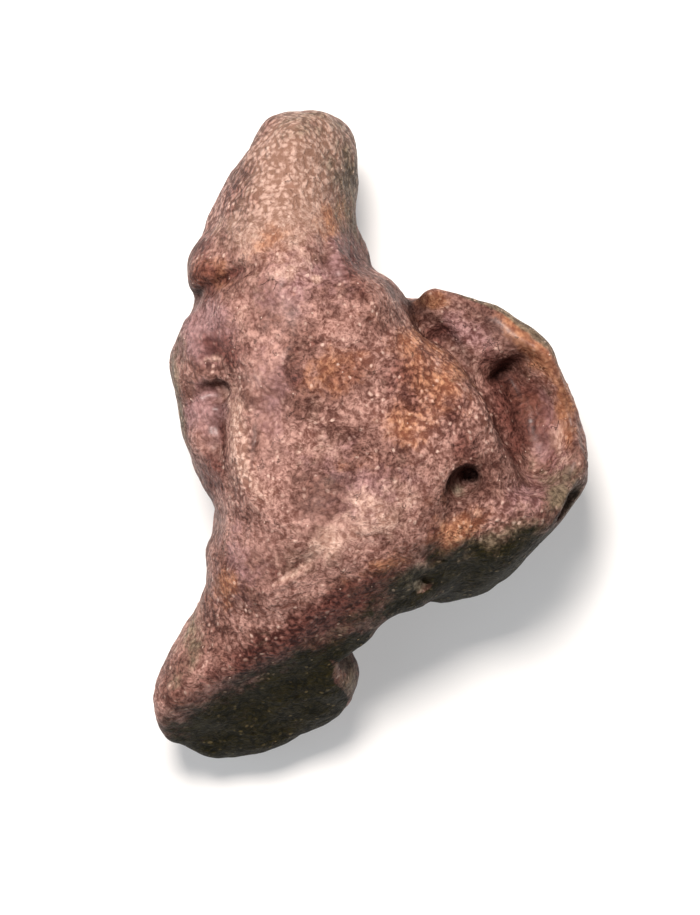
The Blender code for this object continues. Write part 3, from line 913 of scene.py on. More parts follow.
STAINS: dict[Stain, tuple[Patch | Streak, ...]] = {
    Stain.SAND: (
        Patch(-3.9, 14.2, 3.0, 5.0, -16, 1.0),
        Patch(-6.4, 11.2, 2.2, 2.4, 0, 0.7),
    ),
    # Partly a painted lilac sheen: most of these lie where the highlights fall, on the tuberosity, the
    # knob, the boss and the rim.
    Stain.ROSE: (
        Patch(-9.2, 5.6, 2.2, 2.0, 0, 0.9),
        Patch(-8.9, 1.2, 1.4, 2.0, 0, 0.7),
        Patch(-3.9, 8.3, 3.2, 2.0, 15, 0.55),
        Patch(-1.4, 9.6, 1.0, 1.7, 0, 0.9),
        Patch(0.3, -3.4, 2.8, 2.0, 20, 0.55),
        Patch(9.8, -0.3, 1.0, 2.8, 12, 0.8),
        Patch(5.4, 5.6, 2.0, 0.9, -30, 0.7),
        Patch(-6.9, -7.0, 1.6, 2.6, 0, 0.4),
        Patch(8.6, -3.4, 2.4, 1.2, 30, 0.6),
        Patch(-5.2, 1.6, 1.3, 3.0, 0, 0.45),
        Patch(-2.0, -1.4, 1.6, 1.4, 0, 0.4),
    ),
    Stain.OCHRE: (
        Patch(3.4, 3.2, 1.9, 3.2, 40, 0.72),
        Patch(2.2, 0.8, 1.8, 1.6, 0, 0.6),
        Patch(-1.7, 3.4, 2.2, 1.3, 20, 0.75),
        Patch(9.0, 4.6, 2.8, 0.7, -48, 0.9),
        Patch(10.8, 1.4, 0.6, 2.4, 5, 0.7),
        Patch(4.9, -5.2, 1.7, 1.0, 30, 0.85),
        Patch(3.6, 7.3, 0.9, 0.6, 0, 0.9),
        Patch(-8.9, 8.7, 1.3, 0.9, 20, 0.8),
        Patch(-5.4, 10.2, 1.8, 1.0, 20, 0.5),
        Patch(-1.8, 11.9, 1.0, 1.5, -30, 0.75),
        Patch(-0.7, -1.4, 1.6, 0.8, 20, 0.4),
        Patch(0.7, -7.2, 2.2, 0.6, 25, 0.5),
        Patch(-7.9, -8.6, 0.9, 1.3, -20, 0.6),
        Patch(8.6, 1.8, 1.0, 1.8, 15, 0.5),
    ),
    # Partly painted shade: the patches in the meatus bowl, the one on inward-facing faces of the neck and
    # the long streak under the crest darken where shade falls.
    Stain.UMBER: (
        Patch(5.0, 0.0, 1.3, 2.4, 15, 0.6),
        Patch(-7.9, 4.6, 1.7, 1.2, 0, 0.75),
        Patch(-1.2, -8.9, 3.8, 0.9, 32, 0.9),
        Patch(-6.4, -12.2, 4.0, 1.2, 28, 0.7),
        Patch(2.2, 2.8, 1.6, 2.6, 30, 0.55),
        Patch(3.2, 4.6, 0.9, 1.2, 0, 0.5),
        Patch(-9.2, 8.2, 1.3, 1.0, 20, 0.9),
        Patch(-8.6, -2.4, 1.0, 1.6, 0, 0.75),
        Patch(7.6, 2.0, 3.0, 1.5, 105, 0.95),
        Patch(8.0, -0.4, 1.3, 1.6, 0, 0.7),
        Patch(8.8, 1.1, 1.2, 2.4, 12, 0.8),
        Patch(-0.6, 10.2, 1.2, 2.2, 0, 0.9, -1.0, INWARD, 0.2),
        Patch(4.4, 4.8, 2.2, 0.9, -35, 0.4),
        Patch(-1.2, 3.4, 1.6, 0.9, 10, 0.6),
        Patch(-0.4, 9.2, 0.7, 2.2, 0, 0.6),
        Patch(-9.2, 9.6, 0.8, 2.4, -15, 0.7),
        Patch(3.8, 5.4, 1.0, 0.9, 0, 0.7),
        Patch(-3.6, 3.4, 1.0, 1.6, 0, 0.4),
        Patch(-6.0, 6.0, 1.0, 0.8, 0, 0.4),
        Patch(-7.1, 12.8, 1.2, 3.6, -22, 0.4),
        Patch(9.9, -0.6, 1.0, 2.4, 10, 0.5),
        Patch(-1.3, -12.9, 1.5, 2.6, 0, 0.8, -1.0),
        Streak(((-10.4, -14.2), (-6.4, -12.0), (-3.0, -10.1), (-0.4, -8.4), (2.0, -6.9)), 1.0, 0.9),
        Streak(((-4.4, 4.2), (-3.4, 4.8), (-2.2, 4.9)), 0.22, 0.6),
        Streak(((-1.4, 4.8), (-0.2, 4.7), (0.6, 4.3)), 0.25, 0.5),
        Streak(((-0.9, 11.0), (-0.6, 9.8), (-0.9, 8.6), (-1.8, 8.2)), 0.3, 0.7),
        Streak(((-9.4, 7.7), (-8.4, 8.1), (-7.2, 8.8), (-6.0, 9.2)), 0.35, 0.7),
        Streak(((-5.6, -7.7), (-4.2, -7.2), (-2.8, -6.3)), 0.35, 0.7),
        Streak(((3.3, -4.4), (3.6, -6.0), (2.9, -7.4)), 0.5, 0.6),
        Streak(((-8.1, 1.0), (-7.9, -0.6), (-7.6, -2.2)), 0.22, 0.8),
    ),
    Stain.CREAM: (
        Patch(-3.9, 13.6, 1.2, 2.6, -8, 0.25),
        Patch(-4.2, 9.0, 2.2, 1.2, 0, 0.45),
        Patch(-6.2, -2.8, 1.0, 1.7, 10, 0.35),
        Streak(((-7.2, 2.8), (-7.2, 1.4), (-7.0, -0.4), (-6.7, -2.4), (-6.0, -3.8)), 0.65, 0.65),
        Streak(((-5.6, -8.2), (-4.6, -7.8), (-3.3, -6.9), (-2.3, -6.6)), 0.2, 0.7),
        Patch(-2.2, -5.9, 3.0, 1.4, 25, 0.6),
        Patch(0.5, -4.2, 2.2, 1.8, 25, 0.60),
        Patch(-2.9, 8.4, 0.35, 0.3, 0, 0.8),
        Patch(-8.6, 4.1, 0.9, 0.3, 8, 0.6),
        Patch(-2.4, 0.2, 1.4, 1.6, 0, 0.25),
        Patch(-6.6, 6.6, 1.6, 0.5, 40, 0.35),
        Patch(10.4, -0.6, 0.7, 1.6, 5, 0.4),
        Patch(7.4, -4.0, 2.4, 1.3, 25, 0.2),
    ),
    # Partly painted shade and a painted green reflection: most of these pick faces turned from the light,
    # on the snout's inner flank and on the outer and lower faces.
    Stain.DRAB: (
        Patch(-0.8, 13.8, 1.8, 3.8, 0, 0.65, -1.0, INWARD, 0.35),
        Patch(-2.8, 16.9, 3.2, 1.0, 0, 0.4),
        Patch(7.6, 6.6, 4.6, 1.6, -38, 1.0, -1.0, (0.6, 0.8, 0.0), 0.55),
        Patch(-10.6, 3.0, 1.6, 7.0, 0, 0.6, -1.0, (-1.0, 0.0, 0.0), 0.7),
        Patch(6.2, -6.6, 5.0, 1.3, 22, 0.7),
        Patch(-9.8, -11.4, 1.0, 2.6, -20, 0.45, -1.0, (-1.0, 0.3, 0.0), 0.4),
        Patch(10.6, -3.0, 1.6, 1.6, 0, 0.7),
        Patch(-1.2, -13.0, 1.3, 2.2, 0, 0.6, -1.0),
        Patch(-1.6, -10.9, 0.9, 1.1, 30, 0.5),
    ),
    # Painted shade and a painted green reflection on the faces that look back and out, away from the light.
    Stain.OLIVE: (
        Patch(-4.0, -18.2, 12.0, 4.5, 30, 3.0, -1.0, BACK_AND_OUT, 0.35),
        Patch(6.5, -9.0, 9.0, 4.2, 22, 1.0, -1.0, BACKWARD, 0.36),
    ),
    Stain.ASH: (
        Patch(2.3, -8.0, 0.7, 1.3, -40, 1.0),
        Patch(-8.0, -15.4, 1.3, 0.7, -30, 0.6),
        Patch(4.95, -3.0, 0.6, 0.5, 20, 0.6),
    ),
    Stain.POLISH: (
        Patch(-9.0, 5.2, 1.8, 2.0, 0, 0.9, 2.0, UPWARD, 0.45),
        Patch(-8.8, 1.0, 1.2, 2.6, 0, 0.8, 2.0, UPWARD, 0.45),
        Patch(-5.6, 1.8, 1.3, 3.4, 0, 0.9, 2.0, UPWARD, 0.45),
        Patch(-5.4, 7.0, 1.6, 1.6, 0, 0.6, 2.0, UPWARD, 0.45),
        Patch(-1.3, 9.7, 1.0, 1.6, 0, 0.8, 2.0, UPWARD, 0.45),
        Patch(9.8, 0.6, 1.5, 3.2, 15, 1.0, 2.0, UPWARD, 0.45),
        Patch(8.6, 4.6, 2.6, 1.0, -45, 0.9, 2.0, UPWARD, 0.45),
        Patch(-2.4, -4.4, 2.0, 2.0, 30, 0.6, 2.0, UPWARD, 0.45),
        Patch(-5.8, -6.8, 1.6, 1.8, 0, 0.5, 2.0, UPWARD, 0.45),
    ),
    Stain.COBBLE: (
        Patch(3.0, 2.4, 3.6, 5.0, 30, 0.9),
        Patch(-6.9, -1.4, 0.9, 3.4, 0, 1.0),
        Patch(-2.4, 0.6, 2.0, 2.4, 0, 0.6),
        Patch(6.6, -4.6, 4.0, 2.0, 25, 0.7),
        Patch(6.4, 1.2, 0.8, 2.4, 22, 1.0),
        Patch(-4.6, -11.0, 5.0, 1.6, 30, 0.7),
        Patch(-8.0, -9.6, 2.0, 2.4, 0, 0.7),
        Patch(4.8, 5.8, 1.8, 1.0, -30, 0.6),
        Patch(-8.0, 3.6, 1.4, 0.9, 0, 0.8),
    ),
}


# ---- Finish ----
@dataclass(frozen=True)
class Tone:
    """The two colours of one stain: a darker one for the low parts of the skin, and a paler one for the
    tops that stand out of it.
    """

    stain: Stain
    groove: str
    top: str
    most: float = 0.85


@dataclass(frozen=True)
class Pattern:
    """One layer of soft noise: its period in millimetres, its octaves, how rough they are, its seed."""

    size_mm: float
    octaves: float = 3.0
    rough: float = 0.55
    seed: float = 0.0


@dataclass(frozen=True)
class PetrifiedBone:
    """Dense phosphatised bone, worn by water and stained by iron and manganese.

    The mineral has closed the pores, so the bone has a low stony sheen.  Its skin is wrinkled like old
    leather: its tops are paler and a little glossier, and its grooves darker.  Shade is painted into
    its hollows and onto the faces turned from the light.  Where it has weathered it breaks up into
    rounded grains a third of a millimetre across, and on the snout they stand close together, like
    pressed sand.
    """

    plain: tuple[str, str] = ("#654037", "#ba9185")
    plain_dark: tuple[str, str] = ("#3f231d", "#865f54")
    tones: tuple[Tone, ...] = (
        Tone(Stain.ROSE, "#603d3b", "#ad8685"),
        Tone(Stain.SAND, "#826253", "#ba9b8d", 0.95),
        Tone(Stain.OCHRE, "#754430", "#bc8662"),
        Tone(Stain.UMBER, "#2e110e", "#79473e"),
        Tone(Stain.CREAM, "#967061", "#dcbaa9"),
        # greenish brown, partly painted shade
        Tone(Stain.DRAB, "#45392c", "#867660", 0.9),
        Tone(Stain.ASH, "#4f4737", "#a59b85"),
        # the nearly black painted shade of the faces turned from the light
        Tone(Stain.OLIVE, "#0b0a00", "#2b2507", 1.0),
    )
    # colour of the painted shade in hollows and of the darkened pores
    dirt: str = "#1a0a08"
    crack: str = "#2a140f"
    fleck: str = "#dcc0b0"
    # tan: the flecks dimmed where shade is painted on faces turned from the light
    tan: str = "#7d6c48"

    mottle: Pattern = Pattern(3.2, 5.0, 0.6)
    ragged: Pattern = Pattern(1.3, 7.0, 0.7, 31.0)
    ragged_step: float = 2.3  # from the seed of one stain to the next
    clump: Pattern = Pattern(0.9, 3.0, 0.6, 7.4)
    wrinkle: Pattern = Pattern(0.30, 4.0, 0.70, 11.1)
    grit: Pattern = Pattern(0.12, 2.0, 0.5, 14.8)  # three times finer in life
    crack_net: Pattern = Pattern(1.1, 4.0, 0.6, 18.5)
    chip: Pattern = Pattern(0.7, 3.0, 0.6, 22.2)
    wander_mm: float = 0.9  # how closely the patterns are bent, and how far
    wander_by: float = 0.45
    grain_mm: float = 0.30  # rounded grains of the weathered skin
    sand_mm: float = 0.33  # grains of the snout

    mottle_span: Span = (0.40, 0.60)  # of the noise, from dark skin to plain
    stain_span: Span = (0.15, 0.80)  # of mask and noise together, from no stain to all of it
    grain_span: Span = (0.75, 0.10)  # of a grain's width, from its foot to its top
    grain_soft: float = 0.35
    least_grain: float = 0.35  # how far grains show where the skin isn't weathered
    polish_calm: float = 0.75  # how much of the wrinkles polish has taken away
    grain_height: float = 0.60  # the heights of the layers of the skin, as parts of bump_mm
    wrinkle_height: float = 1.5
    grit_height: float = 0.8
    clump_height: float = 0.80
    crack_depth: float = 0.5
    level_span: Span = (-0.36, 0.38)  # of the height, from the colour of grooves to that of tops
    crack_half_wide: float = 0.018
    crack_span: Span = (0.54, 0.64)  # of the clumps, from no crack to all of it
    crack_tint: float = 0.6
    chip_span: Span = (0.46, 0.20)  # of a grain's width
    chip_lot: Span = (0.72, 0.98)  # of a grain's random number
    chip_patch: Span = (0.42, 0.58)
    chip_tint: float = 0.60
    crumb_tint: float = 0.6
    dirt_span: Span = (0.12, 0.85)  # of how enclosed a point is, from no painted shade to all of it
    dirt_tint: float = 0.78
    pore_tint: float = 0.5
    ash_clean: float = 0.6  # how much of the painted shade in hollows the dry crust takes away

    bump_mm: float = 0.09
    roughness: float = 0.52
    top_shine: float = -0.14  # what each adds to the roughness
    polish_shine: float = -0.10
    olive_dull: float = 0.16
    dirt_dull: float = 0.25
    ior: float = 1.60  # apatite
    specular: float = 0.08  # a dusty surface mirrors less than clean mineral
    coat: float = 0.45  # where it has been rubbed
    coat_rough: float = 0.36

    def noises(self, add: Add, at: bpy.types.Node) -> Sources:
        """Adds one noise node for each pattern, and one for the ragged edge of each stain.

        Args:
            add: adds a node to the tree.
            at: the coordinates, in millimetres.

        Returns:
            The nodes by the names of the patterns and stains.
        """
        layers = {name: held for name, held in vars(self).items() if isinstance(held, Pattern)}
        edge = layers.pop("ragged")
        for index, tone in enumerate(self.tones):
            layers[tone.stain.value] = replace(edge, seed=edge.seed + self.ragged_step * index)
        out = {}
        for name, pattern in layers.items():
            settings = {
                "Vector": at,
                "W": pattern.seed,
                "Scale": 1 / pattern.size_mm,
                "Detail": pattern.octaves,
                "Roughness": pattern.rough,
            }
            out[name] = add("ShaderNodeTexNoise", settings, noise_dimensions="4D")
        return out

    def stained(self, add: Add, noise: Sources, mask: Sources) -> tuple[bpy.types.Node, ...]:
        """Lays stain over stain on the mottled bone, each with a ragged edge.

        Args:
            add: adds a node to the tree.
            noise: the noises by name.
            mask: the masks by name.

        Returns:
            The colours of the grooves and of the tops.
        """
        dark, light = self.mottle_span
        share = add(
            "ShaderNodeMapRange",
            {"Value": noise["mottle"], "From Min": dark, "From Max": light},
            interpolation_type="SMOOTHSTEP",
        )
        groove, top = (
            add("ShaderNodeMix", {"Factor": share, "A": srgb(under), "B": srgb(over)}, data_type="RGBA")
            for under, over in zip(self.plain_dark, self.plain)
        )
        none, full = self.stain_span
        for tone in self.tones:
            name = tone.stain.value
            edge = add("ShaderNodeMath", {0: noise[name], 1: 2.0, 2: -1.0}, operation="MULTIPLY_ADD")
            cover = add("ShaderNodeMath", {0: edge, 1: mask[name]})
            cover = add(
                "ShaderNodeMapRange",
                {"Value": cover, "From Min": none, "From Max": full, "To Max": tone.most},
                interpolation_type="SMOOTHSTEP",
            )
            groove, top = (
                add("ShaderNodeMix", {"Factor": cover, "A": under, "B": srgb(over)}, data_type="RGBA")
                for under, over in ((groove, tone.groove), (top, tone.top))
            )
        return groove, top

    def level(self, add: Add, bent: bpy.types.Node, noise: Sources, mask: Sources) -> bpy.types.Node:
        """Works out how high the skin stands: grains, wrinkles and grit, calmer where it is polished.

        Args:
            add: adds a node to the tree.
            bent: the bent coordinates, in millimetres.
            noise: the noises by name.
            mask: the masks by name.

        Returns:
            The height, as a part of bump_mm.
        """
        foot, crown = self.grain_span
        grains = []
        for size in (self.grain_mm, self.sand_mm):
            cells = add(
                "ShaderNodeTexVoronoi",
                {"Vector": bent, "Scale": 1 / size, "Smoothness": self.grain_soft},
                feature="SMOOTH_F1",
            )
            grains.append(
                add(
                    "ShaderNodeMapRange",
                    {"Value": cells.outputs["Distance"], "From Min": foot, "From Max": crown},
                    interpolation_type="SMOOTHSTEP",
                )
            )
        pebble = add("ShaderNodeMix", {"Factor": mask["grain"], "A": grains[0], "B": grains[1]})
        rounded = add("ShaderNodeMath", {0: mask["cobble"], 1: self.least_grain}, operation="MAXIMUM")
        rounded = add("ShaderNodeMath", {0: rounded, 1: mask["grain"]}, operation="MAXIMUM")
        parts = (
            (pebble, rounded, self.grain_height),
            (noise["wrinkle"], mask["smooth"], self.wrinkle_height),
            (noise["grit"], mask["smooth"], self.grit_height),
            (noise["clump"], 1.0, self.clump_height),
        )
        level = 0.0
        for source, share, height in parts:
            held = add("ShaderNodeMath", {0: source, 1: height, 2: -0.5 * height}, operation="MULTIPLY_ADD")
            level = add("ShaderNodeMath", {0: held, 1: share, 2: level}, operation="MULTIPLY_ADD")
        return level

    def cracks(self, add: Add, noise: Sources) -> bpy.types.Node:
        """Draws thin broken cracks along the level lines of a coarse noise.

        Args:
            add: adds a node to the tree.
            noise: the noises by name.

        Returns:
            From 0 to 1, where 1 is the middle of a crack.
        """
        line = add("ShaderNodeMath", {0: noise["crack_net"], 1: 0.5}, operation="SUBTRACT")
        line = add("ShaderNodeMath", {0: line}, operation="ABSOLUTE")
        line = add(
            "ShaderNodeMapRange",
            {"Value": line, "From Max": self.crack_half_wide, "To Min": 1.0, "To Max": 0.0},
        )
        none, full = self.crack_span
        broken = add("ShaderNodeMapRange", {"Value": noise["clump"], "From Min": none, "From Max": full})
        return add("ShaderNodeMath", {0: line, 1: broken}, operation="MULTIPLY")

    def chips(self, add: Add, bent: bpy.types.Node, noise: Sources, mask: Sources) -> bpy.types.Node:
        """Picks the pale tops of single grains, and the crumbs that stick to the skin.

        Args:
            add: adds a node to the tree.
            bent: the bent coordinates, in millimetres.
            noise: the noises by name.
            mask: the masks by name.

        Returns:
            From 0 to 1, where 1 is all chip.
        """
        spots = add("ShaderNodeTexVoronoi", {"Vector": bent, "Scale": 1 / self.grain_mm})
        foot, crown = self.chip_span
        chip = add(
            "ShaderNodeMapRange",
            {"Value": spots.outputs["Distance"], "From Min": foot, "From Max": crown},
            interpolation_type="SMOOTHSTEP",
        )
        lot = add("ShaderNodeSeparateColor", {"Color": spots.outputs["Color"]})
        for source, (none, full) in ((lot, self.chip_lot), (noise["chip"], self.chip_patch)):
            share = add("ShaderNodeMapRange", {"Value": source, "From Min": none, "From Max": full})
            chip = add("ShaderNodeMath", {0: chip, 1: share}, operation="MULTIPLY")
        for factor in (mask["smooth"], self.chip_tint):
            chip = add("ShaderNodeMath", {0: chip, 1: factor}, operation="MULTIPLY")
        crumb = add("ShaderNodeMath", {0: mask["crumb"], 1: self.crumb_tint}, operation="MULTIPLY")
        return add("ShaderNodeMath", {0: chip, 1: crumb}, operation="MAXIMUM")

    def soil(self, add: Add, mask: Sources) -> bpy.types.Node:
        """Paints shade into the hollows and darkens the pores.

        Args:
            add: adds a node to the tree.
            mask: the masks by name.

        Returns:
            From 0 to 1, where 1 is full painted shade.
        """
        none, full = self.dirt_span
        dirt = add(
            "ShaderNodeMapRange",
            {"Value": mask["cavity"], "From Min": none, "From Max": full, "To Max": self.dirt_tint},
        )
        # where the dry crust takes the painted shade away
        clean = add(
            "ShaderNodeMath", {0: mask["ash"], 1: -self.ash_clean, 2: 1.0}, operation="MULTIPLY_ADD"
        )
        dirt = add("ShaderNodeMath", {0: dirt, 1: clean}, operation="MULTIPLY")
        pore = add("ShaderNodeMath", {0: mask["pore"], 1: self.pore_tint}, operation="MULTIPLY")
        return add("ShaderNodeMath", {0: dirt, 1: pore}, operation="MAXIMUM")

    def material(self) -> bpy.types.Material:
        """Builds the material from noise and from the masks on the mesh.

        Returns:
            The material.
        """
        material = bpy.data.materials.new("phosphatised_bone")
        material.use_nodes = True
        tree = material.node_tree
        tree.nodes.clear()
        add = partial(add_node, tree)
        place = add("ShaderNodeTexCoord").outputs["Object"]
        mm = add("ShaderNodeVectorMath", {0: place, "Scale": 1 / MM}, operation="SCALE")
        wander = add("ShaderNodeTexNoise", {"Vector": mm, "Scale": 1 / self.wander_mm, "Detail": 2.0})
        bent = add(
            "ShaderNodeVectorMath",
            {0: wander.outputs["Color"], 1: (self.wander_by,) * 3, 2: mm},
            operation="MULTIPLY_ADD",
        )
        noise = self.noises(add, bent)
        names = [stain.value for stain in Stain] + ["cavity", "grain", "pore", "crumb"]
        mask = {name: add("ShaderNodeAttribute", attribute_name=name).outputs["Fac"] for name in names}
        mask["smooth"] = add(
            "ShaderNodeMath", {0: mask["polish"], 1: -self.polish_calm, 2: 1.0}, operation="MULTIPLY_ADD"
        )

        level = self.level(add, bent, noise, mask)
        low, high = self.level_span
        stands = add(
            "ShaderNodeMapRange",
            {"Value": level, "From Min": low, "From Max": high},
            interpolation_type="SMOOTHSTEP",
        )
        groove, top = self.stained(add, noise, mask)
        crack = self.cracks(add, noise)
        faint = add("ShaderNodeMath", {0: crack, 1: self.crack_tint}, operation="MULTIPLY")
        # pale flecks, dimmed to tan where shade is painted on faces turned from the light
        pale = add(
            "ShaderNodeMix",
            {"Factor": mask["olive"], "A": srgb(self.fleck), "B": srgb(self.tan)},
            data_type="RGBA",
        )
        chip = self.chips(add, bent, noise, mask)
        # painted shade in the hollows, and darker pores
        dirt = self.soil(add, mask)
        colour = groove
        layers = ((stands, top), (faint, srgb(self.crack)), (chip, pale), (dirt, srgb(self.dirt)))
        for share, over in layers:
            colour = add("ShaderNodeMix", {"Factor": share, "A": colour, "B": over}, data_type="RGBA")

        dull = self.roughness
        shines = (
            (stands, self.top_shine),
            (mask["polish"], self.polish_shine),
            (mask["olive"], self.olive_dull),
            (dirt, self.dirt_dull),
        )
        for source, change in shines:
            dull = add("ShaderNodeMath", {0: source, 1: change, 2: dull}, operation="MULTIPLY_ADD")
        height = add("ShaderNodeMath", {0: crack, 1: -self.crack_depth, 2: level}, operation="MULTIPLY_ADD")
        bump = add("ShaderNodeBump", {"Strength": 1.0, "Distance": self.bump_mm * MM, "Height": height})
        gloss = add("ShaderNodeMath", {0: mask["polish"], 1: self.coat}, operation="MULTIPLY")
        shader = add(
            "ShaderNodeBsdfPrincipled",
            {
                "Base Color": colour,
                "Roughness": dull,
                "IOR": self.ior,
                "Specular IOR Level": self.specular,
                "Coat Weight": gloss,
                "Coat Roughness": self.coat_rough,
                "Normal": bump,
            },
        )
        add("ShaderNodeOutputMaterial", {"Surface": shader})
        return material


# ---- Relief with geometry nodes ----
@dataclass(frozen=True)
class SkinRelief:
    """Geometry nodes that roughen the skin, sink pores into it and press crumbs of sand onto it."""

    swell_mm: float = 1.7
    swell_height_mm: float = 0.14
    ripple_mm: float = 0.6
    ripple_height_mm: float = 0.07
    pore_spacing_mm: float = 0.8
    pore_radius_mm: float = 0.17
    pore_depth_mm: float = 0.10
    crumb_spacing_mm: float = 1.3
    crumb_radius_mm: float = 0.065
    polish_calm: float = 0.6  # how much of the ripples polish has taken away
    pore_lot: Span = (0.55, 0.9)  # of a cell's random number, from no pore to a full one
    crumb_packing: float = 0.9
    crumb_share: float = 0.45
    crumb_least: Point3 = (0.4, 0.4, 0.3)
    crumb_most: Point3 = (1.3, 1.0, 0.7)
    seed: int = 7

    def sizes(self) -> dict[str, float]:
        """Lists the tree's sizes by the names of its inputs, in metres."""
        held = {name: value for name, value in vars(self).items() if name.endswith("_mm")}
        return {name.removesuffix("_mm").replace("_", " "): value * MM for name, value in held.items()}

    def build(self) -> tuple[bpy.types.NodeTree, dict[str, str]]:
        """Builds the tree.

        Returns:
            The tree, and the identifier of each of its named inputs.
        """
        tree = bpy.data.node_groups.new("bone_skin", "GeometryNodeTree")
        kinds = {"bone": "NodeSocketGeometry"} | {name: "NodeSocketFloat" for name in self.sizes()}
        kinds |= {"seed": "NodeSocketInt", "finish": "NodeSocketMaterial"}
        sockets = {}
        for name, kind in kinds.items():
            made = tree.interface.new_socket(name=name, in_out="INPUT", socket_type=kind)
            sockets[name] = made.identifier
        tree.interface.new_socket(name="bone", in_out="OUTPUT", socket_type="NodeSocketGeometry")
        add = partial(add_node, tree)
        given = add("NodeGroupInput").outputs
        place = add("GeometryNodeInputPosition")
        normal = add("GeometryNodeInputNormal").outputs["Normal"]
        polish = add("GeometryNodeInputNamedAttribute", {"Name": Stain.POLISH.value}, data_type="FLOAT")
        rough = add("ShaderNodeMath", {0: polish, 1: -self.polish_calm, 2: 1.0}, operation="MULTIPLY_ADD")

        # Swells and ripples, which are lower where the bone is polished.
        lift = None
        for name in ("swell", "ripple"):
            scale = add("ShaderNodeMath", {0: 1.0, 1: given[name]}, operation="DIVIDE")
            wave = add(
                "ShaderNodeTexNoise",
                {"Vector": place, "W": given["seed"], "Scale": scale, "Detail": 2.0},
                noise_dimensions="4D",
            )
            wave = add("ShaderNodeMath", {0: wave, 1: 2.0, 2: -1.0}, operation="MULTIPLY_ADD")
            wave = add("ShaderNodeMath", {0: wave, 1: given[f"{name} height"]}, operation="MULTIPLY")
            if lift is None:
                lift = wave
            else:
                lift = add("ShaderNodeMath", {0: wave, 1: rough, 2: lift}, operation="MULTIPLY_ADD")

        # Pores: a round dimple in some of the cells of a net.
        net = add("ShaderNodeMath", {0: 1.0, 1: given["pore spacing"]}, operation="DIVIDE")
        cells = add("ShaderNodeTexVoronoi", {"Vector": place, "Scale": net}).outputs
        away = add(
            "ShaderNodeMath", {0: cells["Distance"], 1: given["pore spacing"]}, operation="MULTIPLY"
        )
        pick = add("FunctionNodeSeparateColor", {0: cells["Color"]})
        none, full = self.pore_lot
        chosen = add("ShaderNodeMapRange", {"Value": pick, "From Min": none, "From Max": full})
        dimple = add(
            "ShaderNodeMapRange",
            {"Value": away, "From Max": given["pore radius"], "To Min": 1.0, "To Max": 0.0},
            interpolation_type="SMOOTHSTEP",
        )
        pore = add("ShaderNodeMath", {0: dimple, 1: chosen}, operation="MULTIPLY")
        sink = add("ShaderNodeMath", {0: pore, 1: given["pore depth"]}, operation="MULTIPLY")
        lift = add("ShaderNodeMath", {0: lift, 1: sink}, operation="SUBTRACT")
        offset = add("ShaderNodeVectorMath", {0: normal, "Scale": lift}, operation="SCALE")
        skin = add(
            "GeometryNodeStoreNamedAttribute",
            {"Geometry": given["bone"], "Name": "pore", "Value": pore},
            data_type="FLOAT",
            domain="POINT",
        )
        skin = add("GeometryNodeSetPosition", {"Geometry": skin, "Offset": offset})

        # Crumbs: small rough pebbles, half sunk, at random over the skin.
        area = add("ShaderNodeMath", {0: given["crumb spacing"], 1: 2.0}, operation="POWER")
        density = add("ShaderNodeMath", {0: self.crumb_packing, 1: area}, operation="DIVIDE")
        scatter = add(
            "GeometryNodeDistributePointsOnFaces",
            {
                "Mesh": skin,
                "Distance Min": given["crumb spacing"],
                "Density Max": density,
                "Density Factor": self.crumb_share,
                "Seed": given["seed"],
            },
            distribute_method="POISSON",
        ).outputs
        pebble = add("GeometryNodeMeshIcoSphere", {"Radius": given["crumb radius"], "Subdivisions": 1})
        pebble = add(
            "GeometryNodeStoreNamedAttribute",
            {"Geometry": pebble.outputs["Mesh"], "Name": "crumb", "Value": 1.0},
            data_type="FLOAT",
            domain="POINT",
        )
        girth = add(
            "FunctionNodeRandomValue",
            {"Min": self.crumb_least, "Max": self.crumb_most, "Seed": given["seed"]},
            data_type="FLOAT_VECTOR",
        )
        crumbs = add(
            "GeometryNodeInstanceOnPoints",
            {
                "Points": scatter["Points"],
                "Instance": pebble,
                "Rotation": scatter["Rotation"],
                "Scale": girth,
            },
        )
        both = add("GeometryNodeJoinGeometry", {0: crumbs})
        tree.links.new(skin.outputs[0], both.inputs[0])
        solid = add("GeometryNodeRealizeInstances", {"Geometry": both})
        solid = add("GeometryNodeSetShadeSmooth", {"Geometry": solid, "Shade Smooth": True})
        solid = add("GeometryNodeSetMaterial", {"Geometry": solid, "Material": given["finish"]})
        add("NodeGroupOutput", {0: solid})
        return tree, sockets

    def applied(self, obj: bpy.types.Object, finish: bpy.types.Material) -> bpy.types.Mesh:
        """Runs the tree on an object.

        Args:
            obj: the smooth bone.
            finish: the material of the result.

        Returns:
            The roughened mesh.
        """
        tree, sockets = self.build()
        modifier = obj.modifiers.new("skin", "NODES")
        modifier.node_group = tree
        for name, value in {**self.sizes(), "seed": self.seed, "finish": finish}.items():
            modifier[sockets[name]] = value
        graph = bpy.context.evaluated_depsgraph_get()
        mesh = bpy.data.meshes.new_from_object(obj.evaluated_get(graph))
        obj.modifiers.remove(modifier)
        return mesh


